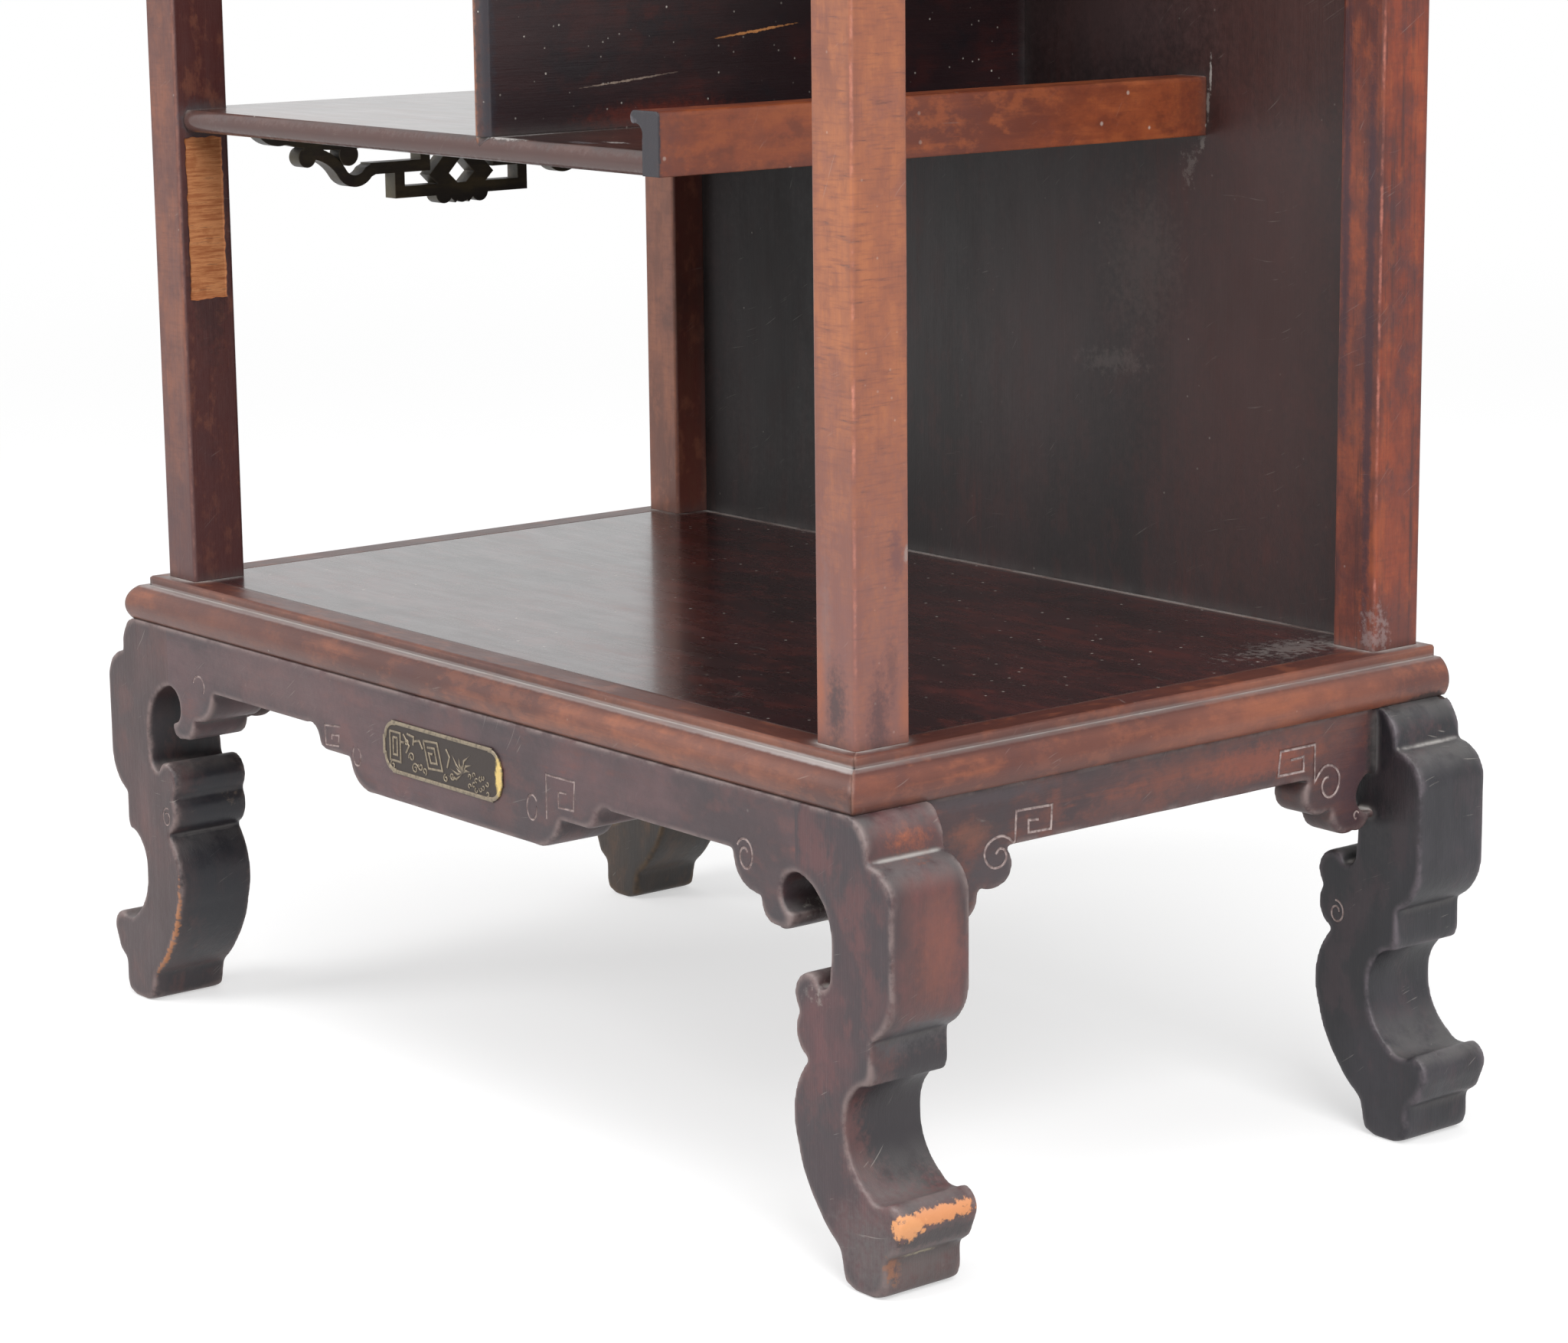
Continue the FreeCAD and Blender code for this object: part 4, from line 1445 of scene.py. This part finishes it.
LEG_FINISHES: dict[str, Lacquer] = {
    "leg_front_right": LEG,
    "leg_front_left": replace(LEG, **tones((60, 45, 46), (78, 55, 55), (96, 62, 58)), streaks=0.05,
                              stain=Paint(56, 45, 47)),
    "leg_back_right": replace(LEG, **tones((24, 23, 28), (44, 41, 47), (68, 50, 55), (118, 108, 114)),
                              stain=Paint(28, 28, 33), stains=0.4),
    "leg_back_left": replace(LEG, **tones((34, 28, 24), (56, 42, 32), (90, 62, 40)),
                             stain=Paint(36, 30, 26), worn=Paint(124, 98, 70)),
    "apron_front": replace(LEG, **tones((58, 44, 47), (83, 60, 62), (110, 66, 60)), stains=0.3,
                           mottle=0.35, scratches=0.12),
    "apron_right": replace(LEG, **tones((58, 40, 42), (88, 56, 52), (122, 68, 52)), glow_share=0.5,
                           scratches=0.1),
    "apron_left": replace(LEG, **tones((48, 38, 40), (74, 54, 54))),
    "apron_back": replace(LEG, **tones((44, 34, 34), (66, 48, 46))),
}


# Spots and tinted faces of the pieces, some of them painted shade, painted highlights and painted
# reflections


STICKS: dict[str, Stick] = {
    f"post_{depth}_{hand}": Stick((x, y))
    for hand, x in (("left", -393), ("right", 393)) for depth, y in (("front", -223.4), ("back", 243.6))
}
POST_MARKS: dict[str, list[Mark]] = {
    "post_front_left": marks_at(
        ((-373.5, -225, 692), (5, 26, 17), (74, 70, 75), 0.6, 0.5, 0.8),
        ((-393, -223, 350), (60, 60, 190), (78, 46, 46), 0.45, 0.2, 0.8),
        ((-373.5, -223, 600), (4, 24, 96), (54, 30, 30), 0.7, 0.3, 0.4)),
    "post_front_right": marks_at(
        ((393, -223, 330), (90, 90, 300), (118, 80, 76), 0.8, 0.2, 0.9),
        ((384, -246, 420), (8, 12, 60), (124, 100, 98), 0.35, 0.4, 0.95),
        ((394, -246, 367), (13, 12, 38), (64, 46, 48), 0.9, 0.4, 0.95),
        ((377, -246, 376), (9, 10, 50), (158, 90, 58), 0.6, 0.3, 0.9),
        ((412.5, -227, 356), (10, 12, 44), (74, 50, 52), 0.8, 0.4, 0.95),
        ((412.5, -216, 388), (8, 7, 28), (86, 58, 58), 0.6, 0.4, 0.95),
        ((412.5, -205, 362), (10, 8, 30), (156, 90, 60), 0.55, 0.3, 0.9),
        ((412.5, -212, 462), (8, 9, 30), (100, 66, 66), 0.7, 0.3, 0.9),
        ((412.5, -203.5, 461), (5, 3, 7), (150, 140, 136), 0.6, 0.6, 0.7)),
    "post_back_right": marks_at(
        ((380, 221, 640), (6, 10, 240), (50, 26, 36), 0.85, 0.3, 0.8),
        ((403, 221, 540), (6, 8, 330), (50, 26, 36), 0.85, 0.3, 0.7),
        ((392, 221, 400), (16, 12, 60), (66, 26, 24), 0.6, 0.4, 0.9),
        ((412.5, 243, 350), (30, 40, 50), (72, 36, 34), 0.6, 0.25, 0.8),
        ((408, 226, 352), (12, 12, 24), (150, 132, 130), 0.5, 1, 0.8, 0.3)),
    "post_back_left": [],
}
# The left posts' faces that turn towards the cabinet's middle are darkened, partly their own colour and
# partly painted shade from inside the case.
POST_TINTS_AND_SHADE: dict[str, list[Tint]] = {
    "post_front_left": [Tint(TO_RIGHT, Paint(72, 35, 33), 0.95)],
    "post_front_right": [Tint(TO_RIGHT, Paint(142, 84, 62), 0.6)],
    "post_back_right": [Tint(TO_FRONT, Paint(100, 50, 42), 0.4), Tint(TO_RIGHT, Paint(132, 54, 28), 0.65)],
    "post_back_left": [Tint(TO_RIGHT, Paint(100, 50, 42), 0.95)],
}
RAIL_MARKS: dict[str, list[Mark]] = {
    "base": marks_at(
        ((-300, -270, 322), (180, 30, 40), (78, 48, 44), 0.6, 0.2, 0.9),
        ((440, 250, 320), (30, 50, 14), (66, 38, 38), 0.6, 0.4, 0.8),
        ((436, 252, 308), (14, 22, 5), (28, 22, 24), 0.8, 0.4, 0.5, 0.2)),
    "top": [],
}
# A pale band on the ledge of each moulded frame, partly dust and partly a painted sheen; the thin extra
# line on the front is a painted glint.
LEDGE_DUST_AND_SHEEN: dict[str, list[Mark]] = {
    place: marks_at(*(((0, 0, level), (9000, 9000, 1.9), (170, 162, 160), strength, 0.12, 0.7, 0.1)
                      for level in (334, 1787.5)), *more)
    for place, strength, more in (
        ("front", 0.4, [((400, -262, 334), (170, 30, 2.2), (178, 172, 170), 0.55, 0.1, 0.95, 0.1)]),
        ("left", 0.4, []), ("right", 0.2, []), ("back", 0.4, []))
}
PANEL_MARKS = marks_at(
    ((365, 196, 341), (24, 60, 6), (150, 144, 140), 0.4, 1.3, 0.8, 0.2),
)
BACK_MARKS = marks_at(
    # The first two marks, warm patches at the right, are partly a painted pinkish reflection.
    ((262, 252.1, 560), (170, 30, 330), (80, 44, 40), 0.5, 0.15, 0.9),
    ((300, 252.1, 820), (220, 30, 150), (84, 50, 45), 0.6, 0.15, 0.9),
    ((-290, 252.1, 520), (170, 30, 420), (14, 8, 9), 0.8, 0.15, 0.9, 0.3),
    ((40, 252.1, 560), (150, 30, 240), (72, 58, 58), 0.45, 0.15, 0.95),
    ((110, 252.1, 770), (150, 30, 70), (84, 64, 64), 0.6, 0.2, 0.95),
    ((119, 252.1, 513), (40, 20, 12), (120, 112, 108), 0.22, 0.7, 0.9, 0.1),
    ((151, 252.1, 591), (50, 20, 70), (110, 98, 94), 0.2, 0.4, 0.95, 0.1),
    ((217.5, 252.1, 728), (1.4, 20, 14), (190, 186, 180), 0.6, 0.7, 0.6, 0.3),
    ((215, 252.1, 704), (1.6, 20, 14), (180, 174, 168), 0.6, 0.9, 0.6, 0.3),
    ((209, 252.1, 682), (4, 20, 12), (170, 164, 158), 0.35, 1.2, 0.8, 0.2),
    ((197, 252.1, 660), (7, 20, 14), (160, 154, 148), 0.22, 1.3, 0.8, 0.2),
)
SHELF_MARKS = marks_at(
    ((27, -205, 700), (5, 40, 4), (168, 164, 162), 0.85, 0.8, 0.8, 0.2),
    ((38, -235, 700), (28, 3, 4), (176, 172, 168), 0.85, 0.6, 0.6, 0.2),
    ((125, -208, 700), (13, 5, 4), (190, 186, 182), 0.85, 0.9, 0.7, 0.2),
    ((108, -223, 700), (20, 6, 4), (120, 118, 122), 0.6, 0.9, 0.8, 0.2),
    ((0, -241, 690), (900, 9, 11), (64, 32, 25), 0.8, 0.4, 0.6, 0.5),
)
LIP_MARKS = marks_at(
    ((203, -236, 705), (30, 34, 60), (96, 54, 46), 0.75, 0.3, 0.9),
    ((203, -60, 684), (30, 260, 9), (92, 46, 36), 0.55, 0.4, 0.9),
    ((203, 245, 705), (30, 46, 60), (84, 40, 34), 0.7, 0.3, 0.9),
    ((198, -241, 705), (90, 3.6, 160), (34, 35, 42), 0.95, 0.3, 0.6),
    ((185, -240, 714), (4, 5, 15), (120, 116, 122), 0.5, 0.8, 0.8),
)
SPLITS = marks_at(
    ((22, -90, 706), (8, 90, 16), (112, 42, 26), 0.6, 0.3, 0.9),
    ((6, -239, 860), (7, 12, 400), (146, 84, 48), 0.8, 0.4, 0.6),
    ((20.5, -238, 860), (7, 9, 400), (36, 33, 40), 0.9, 0.4, 0.7),
) + trail([(22, -41, 758.2), (22, 31, 766.1)], 17, (5, 5.4, 0.9), Paint(206, 140, 84), 0.95) + trail(
    [(22, -160, 729.2), (22, -122, 732.3), (22, -77.6, 736.4)], 19, (5, 5, 0.7), Paint(160, 142, 128), 0.7)
LEG_MARKS: dict[str, list[Mark]] = {
    "leg_front_right": marks_at(
        ((480, -230, 225), (22, 30, 56), (130, 74, 58), 0.6, 0.2, 0.95),
        ((462, -234, 291), (26, 26, 15), (150, 82, 54), 0.9, 0.4, 0.9),
        ((478, -266, 240), (12, 9, 60), (56, 46, 50), 0.6, 0.3, 0.9),
        ((452, -230, 166), (34, 44, 20), (68, 67, 70), 0.85, 0.3, 0.6),
        # Dark patch in the leg's hollow inner curve: partly its own dark colour, partly painted shade; it
        # is also made rougher.
        ((440, -222, 115), (52, 46, 62), (38, 34, 38), 0.98, 0.2, 0.35),
        ((452, -240, 30), (60, 60, 50), (88, 83, 82), 0.75, 0.3, 0.8),
        ((474, -236, 74), (14, 40, 7), (38, 33, 36), 0.8, 0.5, 0.5),
        ((478, -236, 42), (12, 44, 8), (46, 40, 42), 0.8, 0.5, 0.6),
        ((479, -238, 56), (12, 38, 6), (208, 140, 94), 1, 0.5, 0.3, 0.25),
        ((479, -262, 52), (10, 14, 9), (216, 152, 104), 1, 0.5, 0.3, 0.25),
        ((466, -262, 22), (6, 8, 12), (150, 98, 68), 0.6, 0.8, 0.7, 0.2),
        ((472, -245, 30), (10, 16, 3), (186, 176, 150), 0.7, 0.8, 0.6, 0.2),
        ((398, -240, 186), (18, 34, 12), (158, 152, 146), 0.7, 0.5, 0.7, 0.3)),
    "leg_front_left": marks_at(
        ((-440, -269, 50), (50, 9, 50), (70, 58, 60), 0.4, 0.3, 0.9),
        # Near-black patch on the leg's inner side: partly its own dark colour, partly painted shade; it is
        # also made glossier.
        ((-385, -229, 120), (60, 37, 150), (29, 30, 36), 0.85, 0.2, 0.5, -0.12),
        ((-400, -216, 165), (26, 10, 9), (120, 104, 92), 0.6, 0.9, 0.8, 0.2),
    ) + trail([(-377.5, -268, 112), (-378.5, -268, 92), (-385.5, -268, 67), (-402.5, -268, 40),
               (-416, -268, 27.5), (-421.5, -268, 14)], 36, (2.6, 3, 2.8), Paint(172, 116, 78), 0.8),
    "leg_back_right": marks_at(
        ((470, 236, 292), (30, 40, 18), (84, 56, 56), 0.5, 0.4, 0.8),
        # Painted shade on the leg's front face beside the right apron.
        ((440, 207, 245), (60, 6, 50), (44, 40, 42), 0.5, 0.5, 0.8)),
    "apron_front": marks_at(
        ((362, -236, 231), (16, 26, 9), (184, 180, 172), 0.85, 0.6, 0.6, 0.3),
        ((-216, -269, 290), (150, 12, 44), (102, 76, 76), 0.5, 0.2, 0.95),
        ((-300, -250, 232), (40, 34, 14), (84, 72, 62), 0.5, 0.5, 0.8)),
    "apron_right": marks_at(
        ((429.5, -166, 278), (8, 26, 14), (124, 76, 58), 0.45, 0.3, 0.95),
        ((429.5, -150, 300), (8, 90, 7), (64, 54, 58), 0.7, 0.4, 0.8),
        ((429.5, -146, 252), (8, 50, 20), (60, 54, 58), 0.7, 0.3, 0.8),
        # Painted shade in the corner between the right apron and the back right leg; the second mark also
        # roughens the corner to take away its highlight.
        ((429.5, 188, 258), (9, 44, 60), (66, 49, 54), 0.85, 0.2, 0.95),
        ((431, 206, 266), (10, 13, 66), (30, 27, 28), 1, 0.2, 0.8, 0.6),
        ((429.5, 90, 286), (8, 60, 16), (138, 72, 52), 0.5, 0.4, 0.8)),
}
# The golden spot on the plaque's rim is partly wear and partly a painted glint.
GOLD_WEAR_AND_GLINT = marks_at(((60, -270.5, 267), (5, 4, 17), (0, 0, 0), 0.9, 0.25, 0.5))
LEG_TINTS_AND_SHADE: dict[str, list[Tint]] = {
    "leg_front_right": [Tint(TO_RIGHT, Paint(104, 64, 58), 0.5)],
    # Painted shade, partly: the front left leg's faces that turn towards the cabinet's middle are made near
    # black.
    "leg_front_left": [Tint(TO_RIGHT, Paint(26, 25, 30), 0.95)],
}
RAIL_TINTS = [Tint(UPWARD, Paint(68, 35, 30), 0.85)]
SHELF_TINTS = [Tint(TO_FRONT, Paint(66, 34, 27), 0.9)]
LIP_TINTS = [Tint(TO_FRONT, Paint(32, 30, 35), 0.95)]
FRET_TINTS = [Tint(TO_FRONT, Paint(92, 84, 60), 0.7)]
PARTITION_TINTS = [Tint(TO_FRONT, Paint(68, 42, 38), 0.85)]


# Nodes that stay


@dataclass
class KeptNode:
    """A node whose shape is right and that gets a finish of its own."""

    name: str
    finish: Lacquer
    grain: Grain
    marks: Sequence[Mark] = ()
    tints: Sequence[Tint] = ()
    stick: Stick | None = None
    eased: float = 0.7
    ease_segments: int = 2
    ease_angle: float = 40.0

    def dress(self, seed: int) -> bpy.types.Object:
        """Puts the finish on the node's slots.

        Args:
            seed: Moves the noises of its finish.

        Returns:
            The node.
        """
        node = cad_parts[self.name]
        material = self.finish.lay(
            self.name + "_lacquer", self.grain, seed, self.marks, self.tints, self.stick)
        for slot in node.material_slots:
            slot.material = material
        if self.eased:
            ease = node.modifiers.new("eased_edges", "BEVEL")
            ease.width = self.eased * MM
            ease.segments = self.ease_segments
            ease.limit_method = "ANGLE"
            ease.angle_limit = math.radians(self.ease_angle)
        return node


@dataclass
class Case:
    """Posts, moulded frames, boards, shelves, lips, partitions and friezes."""

    pieces: list[KeptNode] = field(default_factory=list)

    def __post_init__(self) -> None:
        """Lists the nodes and their finishes."""
        for hand in ("left", "right"):
            for depth in ("front", "back"):
                name = f"post_{depth}_{hand}"
                if name != ScarredPost.node:
                    self.pieces.append(KeptNode(name, POST_FINISHES[name], Grain.UPRIGHT, POST_MARKS[name],
                                                POST_TINTS_AND_SHADE[name], STICKS[name]))
        for level in ("base", "top"):
            for place in ("front", "left", "right", "back"):
                grain = Grain.ACROSS if place in ("front", "back") else Grain.DEPTH
                self.pieces.append(KeptNode(
                    f"{level}_rail_{place}", RAIL_FINISHES.get(place, MOULDING), grain,
                    RAIL_MARKS[level] + LEDGE_DUST_AND_SHEEN[place], RAIL_TINTS))
            self.pieces.append(KeptNode(f"{level}_panel", BOARD, Grain.ACROSS, PANEL_MARKS))
        self.pieces.append(KeptNode("back_panel", BACK, Grain.UPRIGHT, BACK_MARKS))
        for number in (1, 2, 3):
            self.pieces.append(KeptNode(f"shelf_{number}", SHELF, Grain.ACROSS, SHELF_MARKS, SHELF_TINTS))
            self.pieces.append(KeptNode(f"shelf_{number}_lip", LIP, Grain.DEPTH, LIP_MARKS, LIP_TINTS))
            self.pieces.append(KeptNode(f"frieze_{number}", FRET, Grain.DEPTH, (), FRET_TINTS, eased=0.0))
        for number in (1, 2):
            self.pieces.append(KeptNode(
                f"partition_{number}", PARTITION, Grain.DEPTH, SPLITS, PARTITION_TINTS))

    def build(self) -> Iterator[bpy.types.Object]:
        """Dresses each node."""
        for seed, piece in enumerate(self.pieces):
            yield piece.dress(seed + CASE_SEED)


# Studio


SCREEN_GAMMA = 2.2


@dataclass(frozen=True)
class Lamp:
    """A square lamp, with its place and size in metres and its power in watts."""

    name: str
    spot: Triple
    size: float
    power: float

    def hang(self, aim: Vector) -> bpy.types.Object:
        """Hangs the lamp.

        Args:
            aim: The place that it shines on.

        Returns:
            The lamp.
        """
        data = bpy.data.lights.new(self.name, "AREA")
        data.shape = "SQUARE"
        data.size = self.size
        data.energy = self.power
        lamp = linked(self.name, data)
        spot = Vector(self.spot)
        turn = (aim - spot).to_track_quat("-Z", "Y").to_matrix().to_4x4()
        lamp.matrix_world = Matrix.Translation(spot) @ turn
        return lamp


@dataclass
class Studio:
    """Pale floor, soft lamps, white surroundings and the camera at the photograph's angle."""

    eye: Triple = (2313.0, -1839.9, 906.4)
    yaw: float = 0.8906
    pitch: float = 0.2042
    roll: float = 0.011
    focal_pixels: float = 5356.2
    picture: tuple[int, int] = (2048, 1754)
    sensor: float = 36.0
    far_end: float = 200.0
    floor_cells: int = 12
    floor_half: float = 60.0
    floor_fade: tuple[float, float] = (1.2, 6.0)
    floor_paint: Paint = Paint(196, 196, 196)
    floor_glow: float = 0.52
    floor_roughness: float = 0.9
    world_level: float = 0.6
    aim: Triple = (0.0, 0.0, 0.7)
    lamps: tuple[Lamp, ...] = (
        Lamp("lamp_right", (3.4, -1.2, 2.8), 2.4, 130.0),
        Lamp("lamp_front", (-1.4, -4.0, 2.8), 2.4, 125.0),
        Lamp("lamp_top", (0.4, -0.8, 4.4), 2.6, 70.0))

    def build_camera(self) -> bpy.types.Object:
        """Sets the camera by the fitted angles.

        Returns:
            The camera.
        """
        right = Vector((math.cos(self.yaw), math.sin(self.yaw), 0.0))
        ahead = Vector((-math.sin(self.yaw) * math.cos(self.pitch),
                        math.cos(self.yaw) * math.cos(self.pitch), -math.sin(self.pitch)))
        down = ahead.cross(right)
        across = right * math.cos(self.roll) + down * math.sin(self.roll)
        below = ahead.cross(across)
        data = bpy.data.cameras.new("camera")
        data.sensor_fit = "HORIZONTAL"
        data.sensor_width = self.sensor
        data.lens = self.focal_pixels / self.picture[0] * self.sensor
        data.clip_end = self.far_end
        camera = linked("camera", data)
        turn = Matrix((across, -below, -ahead)).transposed()
        camera.matrix_world = Matrix.Translation(Vector(self.eye) * MM) @ turn.to_4x4()
        bpy.context.scene.camera = camera
        return camera

    @staticmethod
    def _seen(bench: Bench) -> Shade:
        """Gives 1 where the camera, a mirror or a glass sees, and 0 where light is only spread."""
        masks = [bench.add("ShaderNodeLightPath", {}, {}, name)
                 for name in ("Is Camera Ray", "Is Glossy Ray", "Is Transmission Ray")]
        return masks[0].most(masks[1]).most(masks[2])

    def build_floor(self) -> bpy.types.Object:
        """Lays the floor, pale under the cabinet and white far off.

        Returns:
            The floor.
        """
        mesh = bmesh.new()
        bmesh.ops.create_grid(
            mesh, x_segments=self.floor_cells, y_segments=self.floor_cells, size=self.floor_half)
        floor = mesh_piece("floor", mesh)
        material, bench = material_bench("floor_paper")
        away = bench.place().length().rise(*self.floor_fade)
        glow = self._seen(bench) * (self.floor_glow + away * (1.0 - self.floor_glow))
        bench.close(Base_Color=bench.blend(away, self.floor_paint, UNLIT), Roughness=self.floor_roughness,
                    Specular_IOR_Level=0.0, Emission_Strength=1.0,
                    Emission_Color=bench.blend(glow, UNLIT, WHITE))
        floor.data.materials.append(material)
        floor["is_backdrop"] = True
        return floor

    def build_lamps(self) -> Iterator[bpy.types.Object]:
        """Hangs the soft lamps."""
        for lamp in self.lamps:
            yield lamp.hang(Vector(self.aim))

    def build_world(self) -> bpy.types.World:
        """Makes the surroundings white where seen, and plain grey as a light.

        Returns:
            The surroundings.
        """
        world = bpy.data.worlds.new("white_room")
        world.use_nodes = True
        bench = Bench(world.node_tree)
        level = round(255 * self.world_level ** (1 / SCREEN_GAMMA))
        tone = bench.blend(self._seen(bench), Paint(level, level, level), WHITE)
        glow = bench.add("ShaderNodeBackground", {}, {"Color": tone, "Strength": 1.0})
        bench.add("ShaderNodeOutputWorld", {}, {"Surface": glow})
        bpy.context.scene.world = world
        return world


def write_sizes() -> None:
    """Works out the box of the solids and of the dressed cabinet, and does nothing more with them."""
    boxes = {"cad": CAD_BOX, "visual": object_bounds()}
    ({name: [[float(c) for c in corner] for corner in box]
               for name, box in boxes.items()})


def main() -> None:
    """Builds the cabinet piece by piece, then the studio."""
    logging.basicConfig(level=logging.INFO, format="%(name)s: %(message)s")
    dust = DustFill().lay("line_dust")
    bare = RawWood().lay("bare_wood", Grain.DEPTH, BARE_SEED)
    chipped = CHIPPED.lay("chipped_wood", Grain.UPRIGHT, CHIP_SEED)
    base = CarvedBase()
    for piece in base.build(base.lacquers(), dust, chipped):
        LOG.info("carved %s, %d points", piece.name, len(piece.data.vertices))
    post = ScarredPost()
    LOG.info("scarred %s", post.build(post.lacquer(), bare).name)
    LOG.info("cast %s", Plaque().build(AgedBrass().lay("aged_brass", GOLD_WEAR_AND_GLINT)).name)
    for piece in Case().build():
        LOG.info("dressed %s", piece.name)
    studio = Studio()
    studio.build_camera()
    studio.build_floor()
    for lamp in studio.build_lamps():
        LOG.info("hung %s", lamp.name)
    studio.build_world()
    bpy.context.scene.view_settings.view_transform = "Standard"
    write_sizes()


if __name__ == "__main__":
    main()
